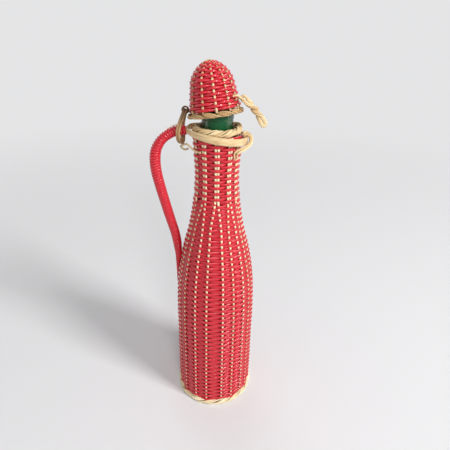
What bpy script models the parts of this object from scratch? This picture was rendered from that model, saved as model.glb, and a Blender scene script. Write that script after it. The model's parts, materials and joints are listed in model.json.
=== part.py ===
"""A wicker-covered bottle: a glass bottle in a woven cover, with a corded handle and a hinged wicker cap.

Lengths are in metres. The bottle stands on z = 0 with its axis on Z, the handle on the -X side
and the cap's latch on the +X side. An angle of a stake is counted from -Y, the front, towards +X.
"""

import math

import bmesh
import bpy
import numpy as np

# Overall sizes of the cover
BODY_RADIUS = 0.0403
NECK_RADIUS = 0.0202
COVER_HEIGHT = 0.2913
COVER_FOOT = 0.0047

# The cover's outline: share of its height, share of the step from neck radius to body radius
WAIST_SHARE = 0.875
OUTLINE_SHARES = (
    (0.0, 1.0), (0.137, 0.996), (0.275, 0.980), (0.412, 0.965), (0.515, 0.871), (0.618, 0.613),
    (0.704, 0.290), (0.790, 0.090), (WAIST_SHARE, 0.0), (0.961, 0.060), (1.0, 0.075),
)

# Gap between pieces that touch, and the distance within which points of one piece are merged
SEAT_GAP = 0.0003
WELD_DISTANCE = 0.00001

# Wall of the weave and the canes behind it. A cord stands proud where it passes over a cane, and lies
# back by the relief where it passes behind one. Between the cap's canes the wall has flutes.
WEAVE_WALL = 0.0034
WEAVE_RELIEF = 0.0019
FLUTE_DEPTH = 0.0009
STAKE_DIAMETER = 0.0019
STAKE_PLAY = 0.0005

# Rows of cord. Two cords chase each other up the body and one goes up the neck, so each row climbs
# as it goes round. The first row is the height at which a cord crosses the cane or pair named after it.
# Share of the cover's height, share of the body's row pitch
BODY_ROW_PITCH = 0.00271
ROW_PITCH_SHARES = (
    (0.0, 1.0), (0.257, 1.004), (0.326, 1.022), (0.429, 1.022), (0.515, 0.982), (0.618, 0.934),
    (0.721, 0.904), (0.786, 0.871), (1.0, 0.871),
)
BODY_FIRST_ROW = 0.0116
BODY_FIRST_CANE = 3
NECK_ROW_PITCH = 0.002575
NECK_FIRST_ROW = 0.23265
NECK_FIRST_PAIR = 1
ROW_TABLE_STEPS = 400

# Heights, as shares of the cover's, at which the single canes end, the walls have their rows and
# the canes come together
SPLIT_SHARE = 0.785
BODY_ROW_SHARES = (0.33, 0.44, 0.52, 0.58, 0.64, 0.695, 0.74)
NECK_ROW_SHARES = (0.83, 0.88, 0.94, 1.0)
PAIRING_SHARES = (0.69, 0.81)

# The two canes of each pair on the body, and the pair's own angle on the neck, in degrees
PAIR_TURNS = (
    (-78.6, -62.8, -64.7), (-48.1, -27.6, -30.6), (-10.7, 11.3, -1.0), (29.1, 46.4, 30.9),
    (59.3, 77.3, 57.8), (93.0, 108.7, 91.7), (124.4, 140.1, 125.6), (155.8, 171.5, 159.5),
    (187.2, 202.9, 193.4), (218.6, 234.3, 227.3), (250.0, 265.7, 261.2),
)

# Base
MAT_THICKNESS = 0.0032
BORDER_HEIGHT = 0.0044
BORDER_THICKNESS = 0.0034
BORDER_TURNS = 12
BORDER_STEPS_A_TURN = 5

# Glass bottle
GLASS_WALL = 0.0030
GLASS_HEEL = 0.0030
GLASS_STEPS = 24
FINISH_STEP = 0.0006
LIP_WIDTH = 0.0004
LIP_HEIGHT = 0.0060
MOUTH_RISE = 0.0187
BORE_RADIUS = 0.0095
PUNT_HEIGHT = 0.0120

# Cork
CORK_CLEARANCE = 0.0003
CORK_INSET = 0.0110
CORK_HEAD = 0.0050
CORK_EDGE = 0.0006

# Plaited rim round the top of the neck
RIM_HEIGHT = 0.0066
RIM_THICKNESS = 0.0048
RIM_OVERHANG = 0.0010
RIM_TURNS = 6
RIM_STEPS_A_TURN = 8

# Flat cane band round the neck
BAND_HEIGHT = 0.0060
BAND_END_HEIGHT = 0.0048
BAND_THICKNESS = 0.0015
BAND_NOSE = 0.0266
BAND_SIDE = 0.0230
BAND_DROP = 0.0010
BAND_SLOPE = -0.155
BAND_TUCK = 0.0050
BAND_STATIONS_DEG = (158, 140, 115, 90, 65, 42, 20)

# Catch strand on the right of the neck: where it leaves the weave, and how it leans out to the band
CATCH_DIAMETER = 0.0028
CATCH_DROP = 0.0180
CATCH_TURN_DEG = 44
CATCH_HUG = 0.0057
CATCH_LEAN = 0.0040
CATCH_SPREAD = 0.0085

# Corded handle
HANDLE_BOW = 0.0280
HANDLE_DROP = 0.1423
HANDLE_RADIUS = 0.0051
HANDLE_START = 0.0265
HANDLE_RISE = 0.0020
CORD_PITCH = 0.0022
CORD_RELIEF = 0.0005
WRAP_WALL = 0.0013
CORE_SETBACK = 0.0060

# The handle's route: share of its bow out from where it would lie on the cover, share of its drop
HANDLE_SHARES = (
    (0.228, 0.0035), (0.468, 0.021), (0.700, 0.052), (0.860, 0.092), (0.951, 0.136), (1.0, 0.192),
    (0.992, 0.269), (0.866, 0.372), (0.674, 0.484), (0.437, 0.599), (0.210, 0.691), (0.045, 0.784),
    (0.0, 0.86), (0.0, 0.92), (0.0, 1.0),
)
# Share of the drop, share of the handle's radius
HANDLE_TAPER_SHARES = (
    (0.0, 1.0), (0.20, 1.0), (0.32, 0.94), (0.54, 0.90), (0.70, 0.86), (0.77, 0.81), (0.83, 0.69),
    (0.90, 0.45), (1.0, 0.22),
)

# Cap
CAP_HEIGHT = 0.0423
CAP_RADIUS = 0.0225
CAP_WALL = 0.0027
CAP_STAKE_DIAMETER = 0.0017
CAP_STAKE_PLAY = 0.00035
CAP_RIM_HEIGHT = 0.0046
CAP_RIM_THICKNESS = 0.0034
CAP_RIM_OVERHANG = 0.0005
CAP_RIM_TURNS = 7
CAP_RIM_STEPS_A_TURN = 7
CAP_LIFT = 0.0047
CAP_OFFSET = 0.0010
CAP_TILT_DEG = 8.3
CAP_STAKE_TURNS = (-64.0, -27.0, 4.0, 36.5, 66.0, 98.6, 131.0, 163.5, 196.0, 228.5, 262.0)
# Share of the cap's height, share of its radius
CAP_SHARES = (
    (0.0, 1.0), (0.118, 0.973), (0.236, 0.929), (0.378, 0.880), (0.520, 0.818), (0.662, 0.756),
    (0.733, 0.693), (0.804, 0.604), (0.887, 0.467), (0.946, 0.311), (0.981, 0.178), (1.0, 0.0),
)

# Cane loop that carries the cap on the handle
LOOP_DIAMETER = 0.0027
LOOP_LEAN = -0.0078
# How far the loop stands askew along the handle, as a share of the distance across it
LOOP_SKEW_SHARE = 0.35
# Share of the loop's half width, share of it measured down from the pivot
LOOP_SHOULDER_SHARES = (0.72, 0.35)
LOOP_SIDE_SHARE = 0.75
EYE_DIAMETER = 0.0018
EYE_HEIGHT = 0.0068
EYE_STEPS = 14
PIVOT_PLAY = 0.00035

# Latch
LATCH_SIDE = 0.0080
LATCH_HEIGHT = 0.0112
LATCH_LENGTH = 0.0290
LATCH_ROOT_DIAMETER = 0.0016
LATCH_DIAMETER = 0.0029
LATCH_SLIT = 0.0006
LATCH_BOW = 0.0014
LATCH_SLOPE_DEG = -49.0
LATCH_STANDOFF = 0.0008
LATCH_TWIST_SHARES = (0.10, 0.88)
LATCH_SWELL_SHARE = 0.33333333
LATCH_STATIONS = 20
# Staple that the latch swings on: half its width, how far its front foot lies forward and up, and
# how far its feet reach into the hollows between the ribs of the cap
STAPLE_DIAMETER = 0.0018
STAPLE_SPREAD = 0.0030
STAPLE_SPLAY = 0.0020
STAPLE_RISE = 0.0036
STAPLE_SINK = 0.0003

# Loose thin strands: the curl under the hinge loop, and the stretch that lies on the handle
THREAD_DIAMETER = 0.0011
CURL_SIZE = 0.0033
TAIL_DROP = 0.0066
TAIL_TURNS_DEG = (-62, -52)
THREAD_START = 0.0081
THREAD_LENGTH = 0.0081

MOUTH_HEIGHT = COVER_HEIGHT + MOUTH_RISE
COVER_DEPTH = WEAVE_WALL + STAKE_PLAY + STAKE_DIAMETER + SEAT_GAP
STAKE_DEPTH = WEAVE_WALL + STAKE_PLAY + STAKE_DIAMETER / 2
CAP_STAKE_DEPTH = CAP_WALL + CAP_STAKE_PLAY + CAP_STAKE_DIAMETER / 2
ROPE_CORNERS = 8


def smooth_table(table, value):
    """The value of a smooth curve through a table of (place, value) rows."""
    places = [row[0] for row in table]
    values = [row[1] for row in table]
    slopes = np.gradient(values, places)
    last = len(places) - 2
    i = int(np.clip(np.searchsorted(places, value) - 1, 0, last))
    span = places[i + 1] - places[i]
    t = float(np.clip((value - places[i]) / span, 0, 1))
    return (
        (2 * t**3 - 3 * t**2 + 1) * values[i]
        + (t**3 - 2 * t**2 + t) * span * slopes[i]
        + (3 * t**2 - 2 * t**3) * values[i + 1]
        + (t**3 - t**2) * span * slopes[i + 1]
    )


def smooth_step(low, high, value):
    """Rises smoothly from 0 at the low value to 1 at the high one."""
    t = min(max((value - low) / (high - low), 0), 1)
    return t * t * (3 - 2 * t)


def cover_radius(z):
    """Outside radius of the cover at a height."""
    return NECK_RADIUS + (BODY_RADIUS - NECK_RADIUS) * smooth_table(OUTLINE_SHARES, z / COVER_HEIGHT)


def cap_radius(h):
    """Outside radius of the cap at a height above its rim."""
    return CAP_RADIUS * smooth_table(CAP_SHARES, h / CAP_HEIGHT)


def stake_turns(z):
    """Angle of every cane at a height, in radians, in order round the bottle."""
    half_pair = (STAKE_DIAMETER + SEAT_GAP) / 2 / (NECK_RADIUS - STAKE_DEPTH)
    paired = smooth_step(*PAIRING_SHARES, z / COVER_HEIGHT)
    turns = []
    for left, right, neck in PAIR_TURNS:
        for body_turn, side in ((left, -1), (right, 1)):
            on_neck = math.radians(neck) + side * half_pair
            turns.append((1 - paired) * math.radians(body_turn) + paired * on_neck)
    return turns


def polar(radius, turn, z):
    """Point at an angle counted from the front towards +X."""
    return np.array((radius * math.sin(turn), -radius * math.cos(turn), z))


def smooth_path(points, spacing):
    """Points about one spacing apart on a smooth curve through the given points."""
    points = np.array(points, float)
    ends = np.vstack((2 * points[0] - points[1], points, 2 * points[-1] - points[-2]))
    path = []
    for before, start, end, after in zip(ends, ends[1:], ends[2:], ends[3:]):
        steps = max(1, round(float(np.linalg.norm(end - start)) / spacing))
        for t in np.arange(steps) / steps:
            path.append(
                (2 * start + (end - before) * t + (2 * before - 5 * start + 4 * end - after) * t**2
                 + (3 * start - before - 3 * end + after) * t**3) / 2
            )
    return np.array(path + [points[-1]])


def even_path(points, spacing):
    """The same curve with points at equal distances."""
    fine = smooth_path(points, spacing / 4)
    lengths = np.concatenate(([0], np.cumsum(np.linalg.norm(np.diff(fine, axis=0), axis=1))))
    count = max(2, round(lengths[-1] / spacing))
    return np.array([
        [np.interp(at, lengths, fine[:, axis]) for axis in range(3)]
        for at in np.linspace(0, lengths[-1], count + 1)
    ])


def material(name, colour, roughness):
    """Plain material of one colour and roughness."""
    made = bpy.data.materials.new(name)
    made.use_nodes = True
    shader = made.node_tree.nodes["Principled BSDF"]
    shader.inputs["Base Color"].default_value = (*colour, 1)
    shader.inputs["Roughness"].default_value = roughness
    return made


def add(name, data, finish, parent=None, location=(0, 0, 0)):
    """Object in the bottle's collection, with one material."""
    made = bpy.data.objects.new(name, data)
    parts.objects.link(made)
    data.materials.clear()
    data.materials.append(finish)
    made.parent = parent
    made.location = location
    return made


def as_mesh(source, name):
    """Closed mesh of an evaluated object, which is then removed."""
    bpy.context.view_layer.update()
    graph = bpy.context.evaluated_depsgraph_get()
    mesh = bpy.data.meshes.new_from_object(source.evaluated_get(graph))
    mesh.name = name
    bpy.data.objects.remove(source)
    edit = bmesh.new()
    edit.from_mesh(mesh)
    bmesh.ops.remove_doubles(edit, verts=edit.verts, dist=WELD_DISTANCE)
    bmesh.ops.recalc_face_normals(edit, faces=edit.faces)
    edit.to_mesh(mesh)
    edit.free()
    mesh.shade_smooth()
    return mesh


def turned(name, profile, steps):
    """Object whose profile of (radius, height) points is turned round Z."""
    mesh = bpy.data.meshes.new(name)
    rim = [(radius, 0, height) for radius, height in profile]
    mesh.from_pydata(rim, [(i, i + 1) for i in range(len(rim) - 1)], [])
    source = bpy.data.objects.new(name + "_profile", mesh)
    parts.objects.link(source)
    screw = source.modifiers.new("turn", "SCREW")
    screw.steps = screw.render_steps = steps
    screw.use_merge_vertices = True
    screw.merge_threshold = WELD_DISTANCE
    return source


def strand(name, points, radii, closed=False, fineness=2, section=None, turns=None):
    """Mesh of a strand along points, with a radius for each, or with a turning section.

    The radii are lengths on a round strand, and factors of the section on one with a section.
    """
    curve = bpy.data.curves.new(name, "CURVE")
    curve.dimensions = "3D"
    curve.twist_mode = "Z_UP"
    spline = curve.splines.new("POLY")
    spline.points.add(len(points) - 1)
    spline.use_cyclic_u = closed
    largest = max(radii)
    for i, (point, radius) in enumerate(zip(points, radii)):
        spline.points[i].co = (*point, 1)
        spline.points[i].radius = radius / largest
        spline.points[i].tilt = turns[i] if turns else 0
    if section:
        curve.bevel_mode = "OBJECT"
        curve.bevel_object = section
    else:
        curve.bevel_depth = largest
        curve.bevel_resolution = fineness
        curve.twist_mode = "MINIMUM"
    curve.use_fill_caps = not closed
    source = bpy.data.objects.new(name + "_route", curve)
    parts.objects.link(source)
    return as_mesh(source, name)


def outline_section(name, points):
    """Closed flat curve that serves as a strand's section."""
    curve = bpy.data.curves.new(name, "CURVE")
    curve.dimensions = "2D"
    spline = curve.splines.new("POLY")
    spline.points.add(len(points) - 1)
    spline.use_cyclic_u = True
    for i, (x, y) in enumerate(points):
        spline.points[i].co = (x, y, 0, 1)
    section = bpy.data.objects.new(name, curve)
    cutters.objects.link(section)
    section.hide_render = True
    section.display_type = "WIRE"
    return section


def full_circle(count):
    """Equal angles round a full turn."""
    return [2 * math.pi * i / count for i in range(count)]


def rope_ring(name, radius, height, long_side, short_side, turns, steps_a_turn):
    """Ring of two strands twisted round each other, as one body."""
    section = outline_section(name + "_section", [
        (long_side / 2 * math.cos(a), short_side / 2 * math.sin(a)) for a in full_circle(ROPE_CORNERS)
    ])
    around = full_circle(turns * steps_a_turn)
    points = [(radius * math.cos(a), radius * math.sin(a), height) for a in around]
    return strand(
        name, points, [1] * len(points), closed=True, section=section, turns=[a * turns for a in around]
    )


def fluted_shell(name, profile, columns):
    """Mesh of a turned outline whose columns stand at the canes' angles and are sunk between them."""
    steps = 2 * len(columns(profile[0][1]))
    mesh = as_mesh(turned(name, profile, steps), name)
    rows = {}
    for vertex in mesh.vertices:
        x, y, z = vertex.co
        radius = math.hypot(x, y)
        if radius < SEAT_GAP:
            continue
        column = (round(math.atan2(y, x) / (2 * math.pi / steps)) + steps // 4) % steps
        row = round(z / SEAT_GAP)
        if row not in rows:
            rows[row] = flute_places(columns(z), radius)
        turn, share = rows[row][column]
        vertex.co = polar(radius - FLUTE_DEPTH * share, turn, z)
    edit = bmesh.new()
    edit.from_mesh(mesh)
    bmesh.ops.recalc_face_normals(edit, faces=edit.faces)
    edit.to_mesh(mesh)
    edit.free()
    return mesh


def flute_places(turns, radius):
    """Angle of each column and how far it is sunk, from 0 at a cane to 1 in a wide space between canes."""
    places = []
    wide = 2 * math.pi * BODY_RADIUS / (2 * len(PAIR_TURNS))
    for turn, following in zip(turns, turns[1:] + [turns[0] + 2 * math.pi]):
        places.append((turn, 0))
        places.append(((turn + following) / 2, min(1, (following - turn) * radius / wide)))
    return places


def add_shell(name, profile, columns, wall, finish, parent=None, location=(0, 0, 0)):
    """Object of a fluted shell with its wall inwards."""
    made = add(name, fluted_shell(name, profile, columns), finish, parent, location)
    solid = made.modifiers.new("wall", "SOLIDIFY")
    solid.thickness = wall
    solid.offset = -1
    return made


def body_crossings(low, high):
    """For each cane of the body, the heights at which cords cross it, and whether each passes over it."""
    heights = np.linspace(0, COVER_HEIGHT, ROW_TABLE_STEPS)
    places, shares = np.array(ROW_PITCH_SHARES).T
    pitch = BODY_ROW_PITCH * np.interp(heights / COVER_HEIGHT, places, shares)
    pairs = len(PAIR_TURNS)
    passed = np.concatenate(([0], np.cumsum(np.diff(heights) * pairs / pitch[1:])))
    passed += BODY_FIRST_CANE - np.interp(BODY_FIRST_ROW, heights, passed)
    margin = BODY_ROW_PITCH / 2
    columns = []
    for cane_index in range(2 * pairs):
        rows = []
        for row in range(math.floor(passed[0] / pairs) - 2, math.ceil(passed[-1] / pairs)):
            z = float(np.interp(cane_index + pairs * row, passed, heights))
            if low + margin < z < high - margin:
                rows.append((z, (cane_index + row) % 2 == 0))
        columns.append(rows)
    return columns


def neck_crossings(low, high):
    """The same on the neck, where both canes of a pair are crossed as one."""
    pairs = len(PAIR_TURNS)
    margin = NECK_ROW_PITCH / 2
    columns = []
    for pair in range(pairs):
        start = NECK_FIRST_ROW + NECK_ROW_PITCH * (pair - NECK_FIRST_PAIR) / pairs
        first = math.ceil((low + margin - start) / NECK_ROW_PITCH)
        last = math.floor((high - margin - start) / NECK_ROW_PITCH)
        rows = [(start + NECK_ROW_PITCH * row, (pair + row) % 2 == 0) for row in range(first, last + 1)]
        columns += [rows, rows]
    return columns


def zip_columns(edit, left, right):
    """Faces between two upright columns of vertices.

    Each step draws the edge that is shorter or lies deeper, so that the places where a cord stands
    proud are separate bumps and the grooves between the rows run on.
    """
    i = j = 0
    while i < len(left) - 1 or j < len(right) - 1:
        left_open, right_open = i < len(left) - 1, j < len(right) - 1
        if left_open and (not right_open or reach(left[i + 1], right[j]) <= reach(left[i], right[j + 1])):
            edit.faces.new((left[i], right[j], left[i + 1]))
            i += 1
        else:
            edit.faces.new((left[i], right[j], right[j + 1]))
            j += 1


def reach(first, second):
    """How far apart two vertices are in height, plus how far out they lie."""
    return abs(first.co.z - second.co.z) + first.co.xy.length + second.co.xy.length


def woven_shell(name, low, high, crossings, inner_rows):
    """Mesh of a woven wall, whose cords stand proud over one cane and lie back behind the next."""
    edit = bmesh.new()
    outer, inner = [], []
    for i, rows in enumerate(crossings(low, high)):
        outer.append([
            edit.verts.new(polar(cover_radius(z) - (0 if over else WEAVE_RELIEF), stake_turns(z)[i], z))
            for z, over in [(low, True)] + rows + [(high, True)]
        ])
        inner.append([
            edit.verts.new(polar(cover_radius(z) - WEAVE_WALL, stake_turns(z)[i], z))
            for z in [low] + inner_rows + [high]
        ])
    for i in range(len(outer)):
        j = (i + 1) % len(outer)
        zip_columns(edit, outer[i], outer[j])
        zip_columns(edit, inner[j], inner[i])
        edit.faces.new((outer[j][0], outer[i][0], inner[i][0], inner[j][0]))
        edit.faces.new((outer[i][-1], outer[j][-1], inner[j][-1], inner[i][-1]))
    bmesh.ops.recalc_face_normals(edit, faces=edit.faces)
    mesh = bpy.data.meshes.new(name)
    edit.to_mesh(mesh)
    edit.free()
    return mesh


def row_heights():
    """Heights of the points of the cover's inner side, the canes and the glass, on body and neck."""
    body = [COVER_HEIGHT * share for share in BODY_ROW_SHARES]
    return body, [COVER_HEIGHT * share for share in NECK_ROW_SHARES]


def glass_bottle():
    """Bottle with a punt, a straight finish and a rounded lip."""
    foot = MAT_THICKNESS + SEAT_GAP
    split = SPLIT_SHARE * COVER_HEIGHT
    lower, upper = row_heights()
    heel = GLASS_HEEL
    outer = [(finish_radius(z), z) for z in reversed([foot + heel] + lower + [split] + upper)]
    inner = [(max(radius - GLASS_WALL, BORE_RADIUS), z) for radius, z in outer[:-1]]
    base = outer[-1][0]
    finish = finish_radius(COVER_HEIGHT)
    lip = finish + LIP_WIDTH
    profile = [(0, foot + PUNT_HEIGHT + GLASS_WALL), (base / 2, foot + PUNT_HEIGHT / 2 + GLASS_WALL)]
    profile += [(base - 2 * heel, foot + heel), (base - heel, foot + 2 * heel)]
    profile += list(reversed(inner))
    profile += [(BORE_RADIUS, MOUTH_HEIGHT - CORK_EDGE), (BORE_RADIUS + CORK_EDGE, MOUTH_HEIGHT)]
    profile += [(lip - CORK_EDGE, MOUTH_HEIGHT), (lip, MOUTH_HEIGHT - CORK_EDGE)]
    profile += [(lip, MOUTH_HEIGHT - LIP_HEIGHT), (finish, MOUTH_HEIGHT - LIP_HEIGHT - CORK_EDGE)]
    profile += outer
    profile += [(base - heel / 3, foot + heel / 3), (base - heel, foot), (base - 2 * heel, foot)]
    profile += [(base / 2, foot + PUNT_HEIGHT / 2), (0, foot + PUNT_HEIGHT)]
    mesh = as_mesh(turned("glass_bottle", profile, GLASS_STEPS), "glass_bottle")
    return add("glass_bottle", mesh, glass_green)


def finish_radius(z):
    """Outside radius of the glass: the cover's less its depth, and straight above the neck's waist."""
    waist = WAIST_SHARE * COVER_HEIGHT
    straight = NECK_RADIUS - COVER_DEPTH - FINISH_STEP
    if z > waist:
        return straight + FINISH_STEP * (1 - smooth_step(waist, COVER_HEIGHT, z))
    return cover_radius(z) - COVER_DEPTH


def cork_stopper():
    """Straight cork with a small edge at both ends, its origin level with the bottle's mouth."""
    radius = BORE_RADIUS - CORK_CLEARANCE
    profile = [
        (0, CORK_HEAD), (radius - CORK_EDGE, CORK_HEAD), (radius, CORK_HEAD - CORK_EDGE),
        (radius, CORK_EDGE - CORK_INSET), (radius - CORK_EDGE, -CORK_INSET), (0, -CORK_INSET),
    ]
    mesh = as_mesh(turned("cork_stopper", profile, GLASS_STEPS), "cork_stopper")
    return add("cork_stopper", mesh, cork, location=(0, 0, MOUTH_HEIGHT))


def base_pieces():
    """Round mat under the glass, and the twisted border round it."""
    ring = BODY_RADIUS + SEAT_GAP * 2 - BORDER_HEIGHT / 2
    mat = ring - BORDER_HEIGHT / 2 - SEAT_GAP
    edge = MAT_THICKNESS / 4
    profile = [
        (0, MAT_THICKNESS), (mat - edge, MAT_THICKNESS), (mat, MAT_THICKNESS - edge), (mat, edge),
        (mat - edge, 0), (0, 0),
    ]
    add("base_mat", as_mesh(turned("base_mat", profile, 2 * len(PAIR_TURNS)), "base_mat"), cane)
    border = rope_ring(
        "base_border", ring, BORDER_HEIGHT / 2, BORDER_HEIGHT, BORDER_THICKNESS, BORDER_TURNS,
        BORDER_STEPS_A_TURN
    )
    add("base_border", border, cane)


def cover():
    """Woven wall of the body, woven wall of the neck, and the canes behind them."""
    split = SPLIT_SHARE * COVER_HEIGHT
    lower, upper = row_heights()
    low, high = split - SEAT_GAP / 2, split + SEAT_GAP / 2
    add("body_weave", woven_shell("body_weave", COVER_FOOT, low, body_crossings, lower), red_cord)
    add("neck_weave", woven_shell("neck_weave", high, COVER_HEIGHT, neck_crossings, upper[:-1]), red_cord)
    foot = MAT_THICKNESS + SEAT_GAP
    rows = [foot] + lower + [split] + upper
    for i in range(2 * len(PAIR_TURNS)):
        points = [polar(cover_radius(z) - STAKE_DEPTH, stake_turns(z)[i], z) for z in rows]
        radii = [STAKE_DIAMETER / 2] * len(points)
        name = f"stake_{i + 1:02d}"
        add(name, strand(name, points, radii, fineness=0), cane)


def neck_rim():
    """Plaited rim that stands on the neck's wall."""
    outer = cover_radius(COVER_HEIGHT) - RIM_OVERHANG + SEAT_GAP
    radius = outer - RIM_HEIGHT / 2
    height = rim_centre()
    mesh = rope_ring(
        "neck_rim", radius, height, RIM_HEIGHT, RIM_THICKNESS, RIM_TURNS, RIM_STEPS_A_TURN
    )
    add("neck_rim", mesh, cane)


def rim_centre():
    """Height of the middle of the neck's rim."""
    return COVER_HEIGHT + SEAT_GAP + RIM_HEIGHT / 2


def handle_axis_height():
    """Height of the handle's axis where it leaves the neck."""
    return COVER_HEIGHT + HANDLE_RISE


def handle_radius(z):
    """Outside radius of the handle at a height."""
    share = (handle_axis_height() - z) / HANDLE_DROP
    return HANDLE_RADIUS * smooth_table(HANDLE_TAPER_SHARES, share)


def handle_route():
    """Points of the handle's axis, from the neck out, round the bow and down to the shoulder."""
    points = [(-HANDLE_START, 0, handle_axis_height())]
    for out, down in HANDLE_SHARES:
        z = handle_axis_height() - HANDLE_DROP * down
        on_cover = cover_radius(z) + SEAT_GAP + handle_radius(z)
        points.append((-(on_cover + HANDLE_BOW * out), 0, z))
    return points


def handle_height_at(x):
    """Height of the handle's axis at a place on its upper stretch."""
    path = smooth_path(handle_route(), CORD_PITCH)
    upper = path[: int(np.argmin(path[:, 0])) + 1]
    return float(np.interp(-x, -upper[:, 0], upper[:, 2]))


def handle():
    """Cane core, and the cord wound round it with one rib for each turn."""
    half_turn = CORD_PITCH / 2
    path = even_path(handle_route(), half_turn)
    radii = [handle_radius(p[2]) - CORD_RELIEF * (i % 2) for i, p in enumerate(path)]
    wrap = add("handle_wrap", strand("handle_wrap", path, radii), red_cord)
    plain = even_path(handle_route(), 5 * half_turn)
    wide = [p for p in plain if handle_radius(p[2]) > 2 * WRAP_WALL]
    lead = np.array(wide[0]) + (2 * CORD_PITCH, 0, 0)
    bore = [lead] + wide
    bore_radii = [handle_radius(p[2]) - WRAP_WALL for p in bore]
    cutter_mesh = strand("handle_bore", bore, bore_radii)
    cutter = bpy.data.objects.new("handle_bore", cutter_mesh)
    cutters.objects.link(cutter)
    cutter.hide_render = True
    cutter.display_type = "WIRE"
    cut = wrap.modifiers.new("bore", "BOOLEAN")
    cut.operation = "DIFFERENCE"
    cut.object = cutter
    inner_end = -(HANDLE_START + CORE_SETBACK)
    inside = [p for p in wide[:-1] if p[0] < inner_end or p[2] < wide[0][2] - CORD_PITCH]
    core_radii = [handle_radius(p[2]) - WRAP_WALL - SEAT_GAP for p in inside]
    add("handle_core", strand("handle_core", inside, core_radii), cane)
    print(f"handle_wrap: {len(path) // 2} turns of cord")


def neck_band():
    """Flat strip round the neck, both ends tucked side by side into the handle's bore."""
    end_side = SEAT_GAP + BAND_THICKNESS / 2 + SEAT_GAP / 3
    tuck = HANDLE_START + BAND_TUCK
    axis_height = handle_axis_height()
    middle = COVER_HEIGHT - BAND_DROP
    half = [(-tuck, end_side, axis_height), (-HANDLE_START, end_side, axis_height)]
    for turn in np.radians(BAND_STATIONS_DEG):
        x = BAND_NOSE * math.cos(turn)
        half.append((x, BAND_SIDE * math.sin(turn), middle + BAND_SLOPE * x))
    nose = [(BAND_NOSE, 0, middle + BAND_SLOPE * BAND_NOSE)]
    route = half + nose + [(x, -y, z) for x, y, z in reversed(half)]
    points = smooth_path(route, BAND_HEIGHT * 0.8)
    flat = BAND_THICKNESS / 2
    edge = flat / 2
    tall = BAND_HEIGHT / 2
    section = outline_section("neck_band_section", [
        (flat, tall - edge), (edge, tall), (-edge, tall), (-flat, tall - edge),
        (-flat, edge - tall), (-edge, -tall), (edge, -tall), (flat, edge - tall),
    ])
    narrow = BAND_END_HEIGHT / BAND_HEIGHT
    radii = [narrow + (1 - narrow) * smooth_step(0, BAND_NOSE, p[0] + HANDLE_START) for p in points]
    mesh = strand("neck_band", points, radii, section=section, turns=[0] * len(points))
    add("neck_band", mesh, cane)


def catch_loop():
    """Strand that comes out of the neck's weave, rounds the band's nose and ends on the rim."""
    thick = CATCH_DIAMETER / 2
    start = COVER_HEIGHT - CATCH_DROP
    near = cover_radius(start) + SEAT_GAP + thick
    nose = BAND_NOSE + BAND_THICKNESS / 2 + SEAT_GAP + thick
    nose_height = COVER_HEIGHT - BAND_DROP + BAND_SLOPE * BAND_NOSE
    top = nose_height + BAND_HEIGHT / 2 + SEAT_GAP + thick
    inner = (BAND_NOSE + cover_radius(COVER_HEIGHT)) / 2
    front = math.radians(CATCH_TURN_DEG)
    points = [
        polar(near, front, start),
        polar(near + SEAT_GAP, front, start + CATCH_HUG),
        (nose - CATCH_LEAN, -CATCH_SPREAD * 1.5, nose_height - CATCH_LEAN),
        (nose, -CATCH_SPREAD, nose_height - thick / 2),
        (nose + SEAT_GAP, -CATCH_SPREAD / 2, nose_height + CATCH_DIAMETER),
        (nose - CATCH_DIAMETER, -CATCH_DIAMETER, top + CATCH_DIAMETER / 4),
        (inner, -CATCH_DIAMETER * 1.2, top + CATCH_DIAMETER / 2),
        (inner - thick, -CATCH_SPREAD, top + CATCH_DIAMETER / 4),
    ]
    path = smooth_path(points, CATCH_DIAMETER * 0.8)
    add("catch_loop", strand("catch_loop", path, [thick] * len(path)), cane)


def cap_outline():
    """Points (radius, height above the rim) of the cap's outline, from the top down."""
    low = CAP_RIM_HEIGHT / 2 + SEAT_GAP
    rows = [low] + [CAP_HEIGHT * share for share, _ in CAP_SHARES if CAP_HEIGHT * share > low + SEAT_GAP]
    return [(cap_radius(h), h) for h in reversed(rows)]


def cap_stake_turns(_):
    """Angle of every cane of the cap, in radians, the same at all heights."""
    return [math.radians(turn) for turn in CAP_STAKE_TURNS]


def cap_stake_points(turn):
    """Points behind the cap's wall, square to its outline, up to where the canes would meet."""
    outline = list(reversed(cap_outline()))
    points = []
    crowd = len(CAP_STAKE_TURNS) * (CAP_STAKE_DIAMETER + SEAT_GAP) / (2 * math.pi)
    for i in range(1, len(outline) - 1):
        before = np.subtract(outline[i], outline[i - 1])
        after = np.subtract(outline[i + 1], outline[i])
        along = before / np.linalg.norm(before) + after / np.linalg.norm(after)
        along = along / np.linalg.norm(along)
        radius = outline[i][0] - along[1] * CAP_STAKE_DEPTH
        height = outline[i][1] + along[0] * CAP_STAKE_DEPTH
        if radius > crowd + CAP_STAKE_DIAMETER / 2:
            points.append(polar(radius, turn, height))
    radius = outline[0][0] - CAP_STAKE_DEPTH
    return [polar(radius, turn, outline[0][1])] + points


def pivot_place():
    """Cap's pivot in the cap's own frame, and on the bottle."""
    eye_reach = LOOP_DIAMETER / 2 + PIVOT_PLAY + EYE_DIAMETER
    out = cap_radius(EYE_HEIGHT) + SEAT_GAP + eye_reach
    own = np.array((-out, 0, EYE_HEIGHT))
    seat = rim_centre() + RIM_HEIGHT / 2 + CAP_LIFT
    return own, own + (-CAP_OFFSET, 0, seat)


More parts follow.
